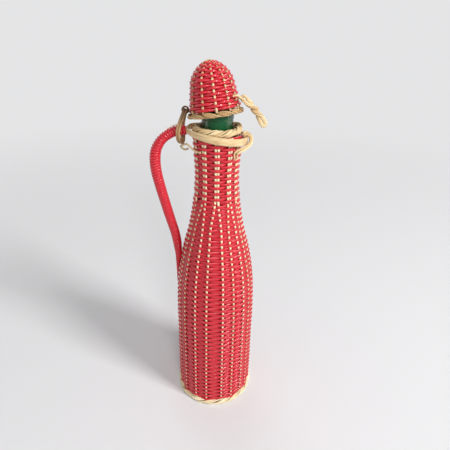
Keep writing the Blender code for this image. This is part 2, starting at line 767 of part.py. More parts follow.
def cap():
    """Woven cap with its rim, canes and eye, on an empty that stands at its pivot."""
    own, pivot = pivot_place()
    hinge = bpy.data.objects.new("cap_hinge", None)
    parts.objects.link(hinge)
    hinge.location = pivot
    hinge.rotation_euler = (0, -math.radians(CAP_TILT_DEG), 0)
    add_shell("cap_weave", cap_outline(), cap_stake_turns, CAP_WALL, red_cord, hinge, -own)
    outer = CAP_RADIUS + CAP_RIM_OVERHANG
    rim = rope_ring(
        "cap_rim", outer - CAP_RIM_HEIGHT / 2, 0, CAP_RIM_HEIGHT, CAP_RIM_THICKNESS, CAP_RIM_TURNS,
        CAP_RIM_STEPS_A_TURN
    )
    add("cap_rim", rim, cane, hinge, -own)
    for i, turn in enumerate(cap_stake_turns(0)):
        points = cap_stake_points(turn)
        name = f"cap_stake_{i + 1:02d}"
        mesh = strand(name, points, [CAP_STAKE_DIAMETER / 2] * len(points), fineness=0)
        add(name, mesh, cane, hinge, -own)
    ring = LOOP_DIAMETER / 2 + PIVOT_PLAY + EYE_DIAMETER / 2
    points = [(ring * math.cos(a), 0, ring * math.sin(a)) for a in full_circle(EYE_STEPS)]
    eye = strand("cap_eye", points, [EYE_DIAMETER / 2] * len(points), closed=True)
    add("cap_eye", eye, cane, hinge)
    latch(hinge, own)


def latch(hinge, own):
    """Staple on the cap, and the twisted double strand that swings on it."""
    surface = math.sqrt(cap_radius(LATCH_HEIGHT) ** 2 - LATCH_SIDE**2)
    reach = LATCH_STANDOFF + LATCH_ROOT_DIAMETER + PIVOT_PLAY + STAPLE_DIAMETER / 2
    bar = surface + reach
    thick = STAPLE_DIAMETER / 2
    low, high = -STAPLE_SPREAD - LATCH_SIDE, STAPLE_SPREAD - LATCH_SIDE
    front = (low - STAPLE_SPLAY, LATCH_HEIGHT + STAPLE_RISE)
    back = (high, LATCH_HEIGHT)
    front_foot, back_foot = (
        math.sqrt(cap_radius(height - thick) ** 2 - (abs(side) - thick) ** 2) - STAPLE_SINK
        for side, height in (front, back)
    )
    points = [
        (front_foot, *front), (front_foot + thick, *front), (bar - thick, low, LATCH_HEIGHT),
        (bar, low + thick, LATCH_HEIGHT), (bar, high - thick, LATCH_HEIGHT), (bar - thick, high, LATCH_HEIGHT),
        (back_foot, *back),
    ]
    staple = strand("latch_staple", points, [thick] * len(points))
    add("latch_staple", staple, cane, hinge, -own)

    swing = bpy.data.objects.new("latch_hinge", None)
    parts.objects.link(swing)
    swing.parent = hinge
    swing.location = np.array((bar, -LATCH_SIDE, LATCH_HEIGHT)) - own
    swing.rotation_euler = (0, math.radians(CAP_TILT_DEG - LATCH_SLOPE_DEG), 0)
    points, radii = latch_strand()
    mesh = strand("latch_loop", points, radii, closed=True, fineness=1)
    add("latch_loop", mesh, cane, swing)


def latch_strand():
    """Closed double strand along +X, crossed twice, open round the staple's bar and at its tip."""
    root = STAPLE_DIAMETER / 2 + PIVOT_PLAY + LATCH_ROOT_DIAMETER / 2
    apart = (LATCH_DIAMETER + LATCH_SLIT) / 2
    length = LATCH_LENGTH - apart - LATCH_DIAMETER / 2
    twist_from, twist_to = (length * share for share in LATCH_TWIST_SHARES)
    upper, lower = [], []
    thicknesses = []
    for i in range(LATCH_STATIONS + 1):
        along = length * i / LATCH_STATIONS
        offset = root + (apart - root) * smooth_step(0, twist_from, along)
        turn = 2 * math.pi * smooth_step(twist_from, twist_to, along)
        bow = LATCH_BOW * math.sin(math.pi * along / length)
        across = offset * math.cos(turn)
        deep = offset * math.sin(turn)
        upper.append((along, deep, bow + across))
        lower.append((along, -deep, bow - across))
        grow = smooth_step(0, length * LATCH_SWELL_SHARE, along)
        thicknesses.append((LATCH_ROOT_DIAMETER + (LATCH_DIAMETER - LATCH_ROOT_DIAMETER) * grow) / 2)
    half_round = np.radians((45, 90, 135))
    tip = [(length + apart * math.sin(a), 0, apart * math.cos(a)) for a in half_round]
    heel = [(-root * math.sin(a), 0, -root * math.cos(a)) for a in half_round]
    points = upper + tip + list(reversed(lower)) + heel
    radii = thicknesses + [LATCH_DIAMETER / 2] * len(tip)
    radii += list(reversed(thicknesses)) + [LATCH_ROOT_DIAMETER / 2] * len(heel)
    gaps = [math.dist(a, b) - 2 * r for a, b, r in zip(upper, lower, thicknesses)]
    print(f"latch_loop: least gap to itself {min(gaps) * 1000:.2f} mm")
    return points, radii


def hinge_loop():
    """Ring from the cap's pivot down round the handle."""
    _, pivot = pivot_place()
    thick = LOOP_DIAMETER / 2
    side = HANDLE_RADIUS + 2 * SEAT_GAP + thick
    middle = handle_height_at(pivot[0] + LOOP_LEAN)
    bottom = middle - side
    straight = EYE_DIAMETER

    def leaning(y, z):
        down = (pivot[2] - z) / (pivot[2] - bottom)
        return (pivot[0] + (LOOP_LEAN + LOOP_SKEW_SHARE * y) * down, y, z)

    def round_handle(hand, angle):
        x, y, z = leaning(hand * side * math.cos(angle), middle - side * math.sin(angle))
        return (x, y, z + handle_height_at(x) - middle)

    shoulder_out, shoulder_down = (side * share for share in LOOP_SHOULDER_SHARES)
    halves = []
    for hand in (1, -1):
        half = [leaning(hand * straight, pivot[2]), leaning(hand * shoulder_out, pivot[2] - shoulder_down)]
        half += [leaning(hand * side, middle + side * LOOP_SIDE_SHARE)]
        halves.append(half + [round_handle(hand, angle) for angle in np.radians((0, 30, 60, 90))])
    right, left = halves
    path = smooth_path(right + left[-2::-1], LOOP_DIAMETER)
    add("hinge_loop", strand("hinge_loop", path, [thick] * len(path), closed=True), cane)
    return right[-1][0], bottom - thick


def loose_strands(loop_x, loop_low):
    """Thin ends of cane: one curled under the hinge loop and run to the neck, one lying on the handle."""
    thick = THREAD_DIAMETER / 2
    neck_z = loop_low - TAIL_DROP
    seat = cover_radius(neck_z) + SEAT_GAP + thick
    curl = CURL_SIZE
    front = -LOOP_DIAMETER
    near_turn, end_turn = np.radians(TAIL_TURNS_DEG)
    tail = [
        (loop_x, front, loop_low - SEAT_GAP - thick),
        (loop_x + curl / 2, front - thick, loop_low - curl / 3),
        (loop_x + 2 * curl, front - 3 * thick, loop_low - curl / 2),
        (loop_x + 2 * curl + 3 * thick, front - 4 * thick, loop_low - curl),
        tuple(polar(seat + SEAT_GAP, near_turn, neck_z + curl / 3)),
        tuple(polar(seat, end_turn, neck_z)),
    ]
    path = smooth_path(tail, 2 * THREAD_DIAMETER)
    add("hinge_tail", strand("hinge_tail", path, [thick] * len(path), fineness=1), cane)
    route = smooth_path(handle_route(), CORD_PITCH)
    start = HANDLE_START + THREAD_START
    end = start + THREAD_LENGTH
    crest = []
    top = handle_axis_height() - HANDLE_BOW / 2
    for before, after in zip(route, route[1:]):
        if start < -before[0] < end and before[2] > top:
            along = (after - before) / np.linalg.norm(after - before)
            out = np.array((along[2], 0, -along[0]))
            crest.append(before + out * (handle_radius(before[2]) + SEAT_GAP + thick))
    add("handle_thread", strand("handle_thread", crest, [thick] * len(crest), fineness=1), cane)


for old in list(bpy.data.objects):
    bpy.data.objects.remove(old)
parts = bpy.data.collections.new("wicker_covered_bottle")
cutters = bpy.data.collections.new("cutters")
cutters.hide_render = True
bpy.context.scene.collection.children.link(parts)
bpy.context.scene.collection.children.link(cutters)
glass_green = material("glass_green", (0.01, 0.09, 0.03), 0.08)
red_cord = material("red_cord", (0.62, 0.03, 0.05), 0.3)
cane = material("cane", (0.72, 0.55, 0.33), 0.55)
cork = material("cork", (0.50, 0.33, 0.19), 0.85)

glass_bottle()
cork_stopper()
base_pieces()
cover()
neck_rim()
handle()
neck_band()
catch_loop()
cap()
loose_strands(*hinge_loop())
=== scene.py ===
"""Looks of the wicker-covered bottle: woven cords and canes, folded borders, glass, cork and studio.

Lengths are in metres. The bottle stands on z = 0 with its axis on Z, the handle on -X and the cap's
latch on +X. An angle round the bottle is counted from -Y, the front, towards +X.
"""

import json
import logging
import math
from dataclasses import dataclass, field, replace
from enum import Enum
from typing import Any, Sequence, Union

import bpy
import numpy as np
from mathutils import Matrix, Vector


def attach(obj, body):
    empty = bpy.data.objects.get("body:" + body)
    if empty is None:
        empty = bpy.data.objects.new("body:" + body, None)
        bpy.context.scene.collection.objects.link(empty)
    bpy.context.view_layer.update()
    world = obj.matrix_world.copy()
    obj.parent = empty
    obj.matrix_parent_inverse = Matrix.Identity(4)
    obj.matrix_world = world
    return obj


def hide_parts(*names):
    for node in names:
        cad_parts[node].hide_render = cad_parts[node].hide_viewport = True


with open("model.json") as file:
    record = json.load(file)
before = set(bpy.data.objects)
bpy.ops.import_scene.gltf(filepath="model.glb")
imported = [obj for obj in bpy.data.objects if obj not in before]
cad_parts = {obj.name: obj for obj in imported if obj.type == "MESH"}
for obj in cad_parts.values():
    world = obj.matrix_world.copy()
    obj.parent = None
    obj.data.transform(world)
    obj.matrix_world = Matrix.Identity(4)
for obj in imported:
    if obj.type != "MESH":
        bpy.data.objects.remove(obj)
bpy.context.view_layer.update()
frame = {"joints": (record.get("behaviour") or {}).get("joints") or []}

log = logging.getLogger("wicker_bottle")
Colour = tuple[float, float, float]
Points = np.ndarray


class Body(Enum):
    """Bodies that a piece can ride on."""

    BOTTLE = "bottle"
    CORK = "cork"
    CAP = "cap"
    LATCH = "latch"


class Slot(Enum):
    """Material slots of the record."""

    GLASS = "glass"
    CORD = "red_cord"
    CANE = "cane"
    CORK = "cork"


class Lay(Enum):
    """How a strand follows its route."""

    PLAIN = "plain"
    WOVEN = "woven"
    WOUND = "wound"


# Node trees


class Wire:
    """A socket of a node tree, on which arithmetic adds Math nodes."""

    def __init__(self, graph: "Graph", socket: bpy.types.NodeSocket) -> None:
        """Keeps the graph and the socket."""
        self.graph = graph
        self.socket = socket

    def math(self, operation: str, first: "Value", second: "Value" = 0.0) -> "Wire":
        """Math node.

        Args:
            operation: the node's operation.
            first: its first value.
            second: its second value, where the operation has one.

        Returns:
            The node's result.
        """
        return self.graph.wire("ShaderNodeMath", {"operation": operation}, {0: first, 1: second})

    def __add__(self, other: "Value") -> "Wire":
        """Sum."""
        return self.math("ADD", self, other)

    def __radd__(self, other: "Value") -> "Wire":
        """Sum with a number on the left."""
        return self.math("ADD", other, self)

    def __sub__(self, other: "Value") -> "Wire":
        """Difference."""
        return self.math("SUBTRACT", self, other)

    def __rsub__(self, other: "Value") -> "Wire":
        """Difference with a number on the left."""
        return self.math("SUBTRACT", other, self)

    def __mul__(self, other: "Value") -> "Wire":
        """Product."""
        return self.math("MULTIPLY", self, other)

    def __rmul__(self, other: "Value") -> "Wire":
        """Product with a number on the left."""
        return self.math("MULTIPLY", other, self)

    def __truediv__(self, other: "Value") -> "Wire":
        """Quotient."""
        return self.math("DIVIDE", self, other)

    def __pow__(self, other: "Value") -> "Wire":
        """Power."""
        return self.math("POWER", self, other)

    def clamped(self) -> "Wire":
        """The value held between 0 and 1."""
        return self.graph.wire("ShaderNodeClamp", {}, {"Value": self})

    def range(self, low: float, high: float) -> "Wire":
        """The value as a share of the way from low to high, held between 0 and 1."""
        return ((self - low) / (high - low)).clamped()


Value = Union[Wire, float]


class Graph:
    """A node tree whose nodes all come from one method."""

    def __init__(self, tree: bpy.types.NodeTree) -> None:
        """Keeps the tree."""
        self.tree = tree

    def node(self, kind: str, settings: dict[str, Any], sockets: dict[Any, Any]) -> bpy.types.Node:
        """Adds a node.

        Args:
            kind: the node's type.
            settings: its properties, which are set before its sockets.
            sockets: a value or a wire for each named or numbered input.

        Returns:
            The node.
        """
        made = self.tree.nodes.new(kind)
        for name, value in settings.items():
            setattr(made, name, value)
        for key, value in sockets.items():
            if isinstance(value, Wire):
                self.tree.links.new(value.socket, made.inputs[key])
            else:
                made.inputs[key].default_value = value
        return made

    def wire(
        self, kind: str, settings: dict[str, Any], sockets: dict[Any, Any], output: Union[int, str] = 0
    ) -> Wire:
        """Adds a node and returns one of its outputs as a wire."""
        return Wire(self, self.node(kind, settings, sockets).outputs[output])

    def vector(self, operation: str, first: Any, second: Any) -> Wire:
        """Vector Math node on two vectors."""
        return self.wire("ShaderNodeVectorMath", {"operation": operation}, {0: first, 1: second})

    def scaled(self, first: Any, factor: Value) -> Wire:
        """A vector times a number."""
        return self.wire("ShaderNodeVectorMath", {"operation": "SCALE"}, {0: first, "Scale": factor})

    def dot(self, first: Any, second: Any) -> Wire:
        """Dot product of two vectors."""
        settings = {"operation": "DOT_PRODUCT"}
        return self.wire("ShaderNodeVectorMath", settings, {0: first, 1: second}, "Value")

    def joined(self, x: Value, y: Value, z: Value) -> Wire:
        """Vector of three numbers."""
        return self.wire("ShaderNodeCombineXYZ", {}, {"X": x, "Y": y, "Z": z})

    def place(self) -> Wire:
        """Place in the object's own frame."""
        return self.wire("ShaderNodeTexCoord", {}, {}, "Object")

    def mixed(self, factor: Value, first: Any, second: Any) -> Wire:
        """Colour between two colours."""
        first, second = (side if isinstance(side, Wire) else (*side, 1) for side in (first, second))
        return self.wire("ShaderNodeMix", {"data_type": "RGBA"}, {0: factor, 6: first, 7: second}, 2)

    def seen(self) -> Wire:
        """Tells the rays that show a surface from those that light it.

        Returns:
            1 for rays from the camera and those that it meets in metal and glass, otherwise 0.
        """
        path = self.node("ShaderNodeLightPath", {}, {})
        rays = ("Is Camera Ray", "Is Glossy Ray", "Is Transmission Ray")
        camera, glossy, through = (Wire(self, path.outputs[name]) for name in rays)
        return (camera + glossy + through).clamped()

    def noise(self, vector: Wire, scale: float, detail: float, roughness: float = 0.5) -> Wire:
        """Noise from 0 to 1 on a vector."""
        sockets = {"Vector": vector, "Scale": scale, "Detail": detail, "Roughness": roughness}
        return self.wire("ShaderNodeTexNoise", {}, sockets, 0)


# Finishes


@dataclass(frozen=True)
class Finish:
    """What every finish shares: its name and how its material is begun and ended."""

    name: str

    def graph(self) -> tuple[bpy.types.Material, Graph]:
        """Begins a material.

        Returns:
            The material and the empty graph on it.
        """
        made = bpy.data.materials.new(self.name)
        made.use_nodes = True
        made.node_tree.nodes.clear()
        return made, Graph(made.node_tree)

    def shade(self, graph: Graph, sockets: dict[str, Any]) -> None:
        """Principled shader with the given sockets on the material's output."""
        shader = graph.wire("ShaderNodeBsdfPrincipled", {}, sockets)
        graph.node("ShaderNodeOutputMaterial", {}, {"Surface": shader})

    def bump(self, graph: Graph, height: Wire, distance: float, strength: float) -> Wire:
        """Normal of a bumped surface."""
        sockets = {"Height": height, "Distance": distance, "Strength": strength}
        return graph.wire("ShaderNodeBump", {}, sockets)

    def material(self) -> bpy.types.Material:
        """Material of the finish."""
        raise NotImplementedError


@dataclass(frozen=True)
class StrandFinish(Finish):
    """What cord and cane share: patterns drawn out along a strand that differ from strand to strand."""

    def field(self, graph: Graph, name: str, output: str = "Fac") -> Wire:
        """One of the strand's own values, such as the length along it."""
        return graph.wire("ShaderNodeAttribute", {"attribute_name": name}, {}, output)

    def streaks(
        self, graph: Graph, across: float, run: float, spread: tuple[float, float], detail: float,
        roughness: float
    ) -> Wire:
        """Noise that is drawn out along the strand.

        Args:
            graph: the material's graph.
            across: how fine it is round the section.
            run: how fine it is along the strand.
            spread: how far a strand's tone moves it across the strand, both ways.
            detail: the noise's detail.
            roughness: the noise's roughness.

        Returns:
            The noise, from 0 to 1.
        """
        tone = self.field(graph, "tone")
        shift = graph.joined(tone * spread[0], tone * spread[1], self.field(graph, "along") * run)
        around = graph.scaled(self.field(graph, "around", "Vector"), across)
        return graph.noise(graph.vector("ADD", around, shift), 1.0, detail, roughness)

    def patches(self, graph: Graph, run: float, spread: float) -> Wire:
        """Soft noise that changes only along the strand and from strand to strand."""
        place = graph.joined(self.field(graph, "along") * run, self.field(graph, "tone") * spread, 0.0)
        return graph.noise(place, 1.0, 2.0)


@dataclass(frozen=True)
class CordFinish(StrandFinish):
    """Glossy red cord: fine lengthwise streaks, with painted shade where it dips behind the canes."""

    red: Colour = (0.66, 0.010, 0.026)
    dark: Colour = (0.30, 0.004, 0.012)
    roughness: float = 0.30
    streak: float = 2.2
    run: float = 90.0
    spread: tuple[float, float] = (17.0, 5.0)
    worn_run: float = 34.0
    worn_spread: float = 9.0
    tuck_painted_shade: float = 0.22
    streak_shade: float = 0.30
    worn_shade: float = 0.14
    specular: float = 0.30
    coat: float = 0.60
    coat_roughness: float = 0.10
    relief: float = 0.00010

    def material(self) -> bpy.types.Material:
        """Material of the cord.

        Returns:
            A material that reads the strand's length, section, tone and dip, and darkens the dip as painted
            shade.
        """
        made, graph = self.graph()
        streaks = self.streaks(graph, self.streak, self.run, self.spread, 3.0, 0.6)
        worn = self.patches(graph, self.worn_run, self.worn_spread)
        # Painted shade: the cord is darkened where it dips behind the canes.
        painted_tuck_shade = self.field(graph, "tuck") * self.tuck_painted_shade
        shade = (painted_tuck_shade + (1.0 - streaks) * self.streak_shade + worn * self.worn_shade).clamped()
        self.shade(graph, {
            "Base Color": graph.mixed(shade, self.red, self.dark),
            "Roughness": self.roughness + streaks * 0.10 + worn * 0.05,
            "Specular IOR Level": self.specular,
            "Coat Weight": self.coat,
            "Coat Roughness": self.coat_roughness,
            "Normal": self.bump(graph, streaks, self.relief, 0.5),
        })
        return made


@dataclass(frozen=True)
class CaneFinish(StrandFinish):
    """Split or round cane: long fibres, pores and uneven colour, with painted shade where it lies under
    other parts.
    """

    pale: Colour = (0.84, 0.66, 0.38)
    deep: Colour = (0.50, 0.30, 0.12)
    painted_shade: Colour = (0.10, 0.045, 0.018)
    age: float = 0.22
    fibre_age: float = 1.5
    patch_age: float = 0.6
    tone_age: float = 0.5
    roughness: float = 0.42
    fibre_roughness: float = 0.25
    fibre: float = 2.6
    run: float = 130.0
    spread: tuple[float, float] = (31.0, 13.0)
    patch_run: float = 60.0
    patch_spread: float = 21.0
    specular: float = 0.5
    relief: float = 0.00025

    def material(self) -> bpy.types.Material:
        """Material of the cane.

        Returns:
            A material that reads the strand's length, section, tone and painted shade.
        """
        made, graph = self.graph()
        fibres = self.streaks(graph, self.fibre, self.run, self.spread, 5.0, 0.62)
        patches = (self.patches(graph, self.patch_run, self.patch_spread) - 0.5) * self.patch_age
        tone = (self.field(graph, "tone") - 0.5) * self.tone_age
        age = ((0.7 - fibres) * self.fibre_age + patches + tone + self.age).clamped()
        cane = graph.mixed(age, self.pale, self.deep)
        # Painted shade: the cane is darkened where it lies under or behind other parts.
        painted_shade_mask = (self.field(graph, "painted_shade") * (0.7 + fibres * 0.6)).clamped()
        self.shade(graph, {
            "Base Color": graph.mixed(painted_shade_mask, cane, self.painted_shade),
            "Roughness": self.roughness + (1.0 - fibres) * self.fibre_roughness,
            "Specular IOR Level": self.specular,
            "Normal": self.bump(graph, fibres, self.relief, 0.6),
        })
        return made


@dataclass(frozen=True)
class GlassFinish(Finish):
    """Dark green bottle glass with faint unevenness from its mould, and painted shade where it turns away.
    """

    green: Colour = (0.006, 0.100, 0.030)
    edge_shade_share: float = 0.12
    facing: tuple[float, float] = (0.05, 0.75)
    ripple_scale: float = 90.0
    ripple_shade: float = 0.2
    ripple_height: float = 0.0003
    roughness: float = 0.04
    index: float = 1.52
    clear: float = 0.10
    specular: float = 0.22

    def material(self) -> bpy.types.Material:
        """Material of the glass.

        Returns:
            A material that reads the object's own place and how far its surface turns away.
        """
        made, graph = self.graph()
        place = graph.place()
        ripple = graph.noise(place, self.ripple_scale, 2.0)
        edge = graph.wire("ShaderNodeLayerWeight", {}, {"Blend": 0.35}, "Facing")
        # Painted shade: darker where the surface turns away from the view, in place of the light lost
        # through the glass's thicker edges.
        shade = (edge.range(*self.facing) + ripple * self.ripple_shade).clamped()
        dark = tuple(self.edge_shade_share * part for part in self.green)
        self.shade(graph, {
            "Base Color": graph.mixed(shade, self.green, dark),
            "Roughness": self.roughness + ripple * 0.03,
            "IOR": self.index,
            "Transmission Weight": self.clear,
            "Specular IOR Level": self.specular,
            "Normal": self.bump(graph, ripple, self.ripple_height, 0.08),
        })
        return made


@dataclass(frozen=True)
class CorkFinish(Finish):
    """Natural cork with grains and dark pores."""

    tan: Colour = (0.58, 0.38, 0.20)
    brown: Colour = (0.22, 0.11, 0.05)
    grain_scale: float = 900.0
    cell_scale: float = 420.0
    pore_scale: float = 260.0
    pore_range: tuple[float, float] = (0.30, 0.42)
    relief: float = 0.0004
    roughness: float = 0.8

    def material(self) -> bpy.types.Material:
        """Material of the cork.

        Returns:
            A material that reads the object's own place.
        """
        made, graph = self.graph()
        place = graph.place()
        grain = graph.noise(place, self.grain_scale, 4.0, 0.6)
        sockets = {"Vector": place, "Scale": self.cell_scale}
        cells = graph.wire("ShaderNodeTexVoronoi", {"feature": "F1"}, sockets, 0)
        pores = 1.0 - graph.noise(place, self.pore_scale, 2.0).range(*self.pore_range)
        shade = (grain * 0.5 + cells * 0.25 + pores * 0.7).clamped()
        self.shade(graph, {
            "Base Color": graph.mixed(shade, self.tan, self.brown),
            "Roughness": self.roughness + grain * 0.15,
            "Normal": self.bump(graph, grain - pores, self.relief, 0.7),
        })
        return made


@dataclass(frozen=True)
class BackdropFinish(Finish):
    """Pale paper of the studio: lit near the object, one even tone farther off, as on a seamless roll."""

    pale: Colour = (0.78, 0.78, 0.79)
    shown: Colour = (0.78, 0.78, 0.79)
    near: float = 0.15
    far: float = 1.40
    tooth_scale: float = 300.0
    tooth_shade: float = 0.04
    tooth_dark: float = 0.8
    roughness: float = 0.9
    specular: float = 0.1

    def material(self) -> bpy.types.Material:
        """Material of the backdrop and floor.

        Returns:
            A material that fades from lit paper to an even tone with the distance from the object.
        """
        made, graph = self.graph()
        place = graph.place()
        tooth = graph.noise(place, self.tooth_scale, 3.0) * self.tooth_shade
        dark = tuple(self.tooth_dark * part for part in self.pale)
        lit = graph.wire("ShaderNodeBsdfPrincipled", {}, {
            "Base Color": graph.mixed(tooth, self.pale, dark),
            "Roughness": self.roughness,
            "Specular IOR Level": self.specular,
        })
        shown = graph.wire("ShaderNodeEmission", {}, {"Color": (*self.shown, 1), "Strength": 1.0})
        away = graph.wire("ShaderNodeVectorMath", {"operation": "LENGTH"}, {0: place}, "Value")
        far = away.range(self.near, self.far)
        far = far * far * (3.0 - far * 2.0) * graph.seen()
        surface = graph.wire("ShaderNodeMixShader", {}, {0: far, 1: lit, 2: shown})
        graph.node("ShaderNodeOutputMaterial", {}, {"Surface": surface})
        return made


# Curves and outlines


def rounded(
    radius: float, height: float, across: float, up: float, level_first: bool
) -> list[tuple[float, float]]:
    """Points of a rounded corner of a turned profile.

    Args:
        radius: radius of the sharp corner.
        height: its height.
        across: how far the rounding reaches along the radius, negative towards the axis.
        up: how far it reaches along the height, negative downwards.
        level_first: whether it leaves the corner's level side first, and not its upright one.

    Returns:
        (radius, height) points.
    """
    points = []
    for turn in np.radians(np.linspace(0, 90, 7)):
        level, upright = 1 - math.sin(turn), 1 - math.cos(turn)
        if not level_first:
            level, upright = upright, level
        points.append((radius + across * level, height + up * upright))
    return points


def smooth_step(low: float, high: float, value: Any) -> Any:
    """Rises smoothly from 0 at the low value to 1 at the high one."""
    share = np.clip((np.asarray(value, float) - low) / (high - low), 0, 1)
    return share * share * (3 - 2 * share)


def polar(radius: Any, turn: Any, z: Any) -> Points:
    """Points at angles counted from the front towards +X."""
    radius, turn, z = np.broadcast_arrays(radius, turn, z)
    return np.stack((radius * np.sin(turn), -radius * np.cos(turn), z), axis=-1)


def passed_turn(turns: Points, count: Points) -> Points:
    """Angle after passing a number of places round a ring.

    Args:
        turns: angles of one round of places, which may differ from point to point.
        count: how many places are passed at each point, with parts of one.

    Returns:
        The angle at each point, without whole rounds.
    """
    rounds = np.concatenate((turns, turns[:1] + 2 * math.pi))
    if rounds.ndim == 1:
        rounds = rounds[:, None].repeat(len(count), axis=1)
    whole = np.floor(count).astype(int)
    index, columns = whole % len(turns), np.arange(len(count))
    low, high = rounds[index, columns], rounds[index + 1, columns]
    return low + (count - whole) * (high - low)


def unit(vectors: Points) -> Points:
    """Vectors of length 1."""
    return vectors / np.maximum(np.linalg.norm(vectors, axis=-1, keepdims=True), 1e-12)


def smooth_path(points: Sequence[Sequence[float]], spacing: float, closed: bool = False) -> Points:
    """Points at equal distances on a smooth curve through the given ones.

    Args:
        points: the points to pass through.
        spacing: about the distance between the points of the result.
        closed: whether the curve returns to its first point.

    Returns:
        The points, without the first one again at the end of a closed curve.
    """
    steps = 24
    given = np.array(points, float)
    if closed:
        ends = np.vstack((given[-1], given, given[0], given[1]))
    else:
        ends = np.vstack((2 * given[0] - given[1], given, 2 * given[-1] - given[-2]))
    fine = []
    for before, start, end, after in zip(ends, ends[1:], ends[2:], ends[3:]):
        t = np.linspace(0, 1, steps, endpoint=False)[:, None]
        fine.append(
            (2 * start + (end - before) * t + (2 * before - 5 * start + 4 * end - after) * t**2
             + (3 * start - before - 3 * end + after) * t**3) / 2
        )
    curve = np.vstack(fine + [ends[-2][None]])
    lengths = np.concatenate(([0], np.cumsum(np.linalg.norm(np.diff(curve, axis=0), axis=1))))
    count = max(2, round(lengths[-1] / spacing))
    at = np.linspace(0, lengths[-1], count + 1)[: count if closed else count + 1]
    return np.stack([np.interp(at, lengths, curve[:, axis]) for axis in range(3)], axis=-1)


def tangents(points: Points, closed: bool = False) -> Points:
    """Direction of a route at each of its points.

    Args:
        points: the route.
        closed: whether it returns to its first point.

    Returns:
        Vectors of length 1.
    """
    if closed:
        return unit(np.roll(points, -1, axis=0) - np.roll(points, 1, axis=0))
    return unit(np.gradient(points, axis=0))


@dataclass(frozen=True)
class Outline:
    """Smooth curve through rows of shares: share of the height, share of the radius."""

    rows: tuple[tuple[float, float], ...]

    def at(self, share: Any) -> Points:
        """Value of the curve.

        Args:
            share: one or more shares of the height.

        Returns:
            The share of the radius at each of them.
        """
        places, values = np.array(self.rows).T
        slopes = np.gradient(values, places)
        share = np.asarray(share, float)
        i = np.clip(np.searchsorted(places, share) - 1, 0, len(places) - 2)
        span = places[i + 1] - places[i]
        t = np.clip((share - places[i]) / span, 0, 1)
        return (
            (2 * t**3 - 3 * t**2 + 1) * values[i] + (t**3 - 2 * t**2 + t) * span * slopes[i]
            + (3 * t**2 - 2 * t**3) * values[i + 1] + (t**3 - t**2) * span * slopes[i + 1]
        )


# Strands


@dataclass(frozen=True)
class Section:
    """Cross-section of a strand: thickness is square to what it lies on, width is along it."""

    thickness: float
    width: float
    sides: int = 10
    squareness: float = 1.0


@dataclass
class Strand:
    """Route of one cane or cord, with what its section and its finish need at each point."""

    points: Points
    out: Points
    girth: Any = 1.0
    phase: Any = 0.0
    reach: Any = 0.0
    painted_shade: Any = 0.0
    tone: float = 0.5
    closed: bool = False

    def bundle(self, count: int, spacing: float, rng: np.random.Generator) -> list["Strand"]:
        """Strands side by side in place of this one.

        Args:
            count: how many strands.
            spacing: distance between their middles.
            rng: source of their tones.

        Returns:
            The strands, spaced across the route and square to the way it faces.
        """
        side = unit(np.cross(tangents(self.points, self.closed), self.out))
        girth = np.broadcast_to(self.girth, len(self.points))[:, None]
        made = []
        for i in range(count):
            shift = (i - (count - 1) / 2) * spacing
            points = self.points + side * girth * shift
            made.append(replace(self, points=points, tone=float(rng.random())))
        return made

    def moved(self, place: Matrix) -> "Strand":
        """The strand carried by a rigid placing.

        Args:
            place: the placing.

        Returns:
            The strand in its new place, with the same values along it.
        """
        turn = np.array(place.to_3x3())
        points = self.points @ turn.T + np.array(place.translation)
        return replace(self, points=points, out=self.out @ turn.T)


@dataclass(frozen=True)
class Weave:
    """A weaver's wave: depth of its middle, swing, flatness of its crests, and how it lies between.

    A straightness near 1 makes its slants straight. A peak above 1 keeps it near the middle depth
    between canes, so that it rises and dips close to them.
    """

    depth: float
    swing: float
    flatness: float
    straightness: float = 0.96
    peak: float = 1.0


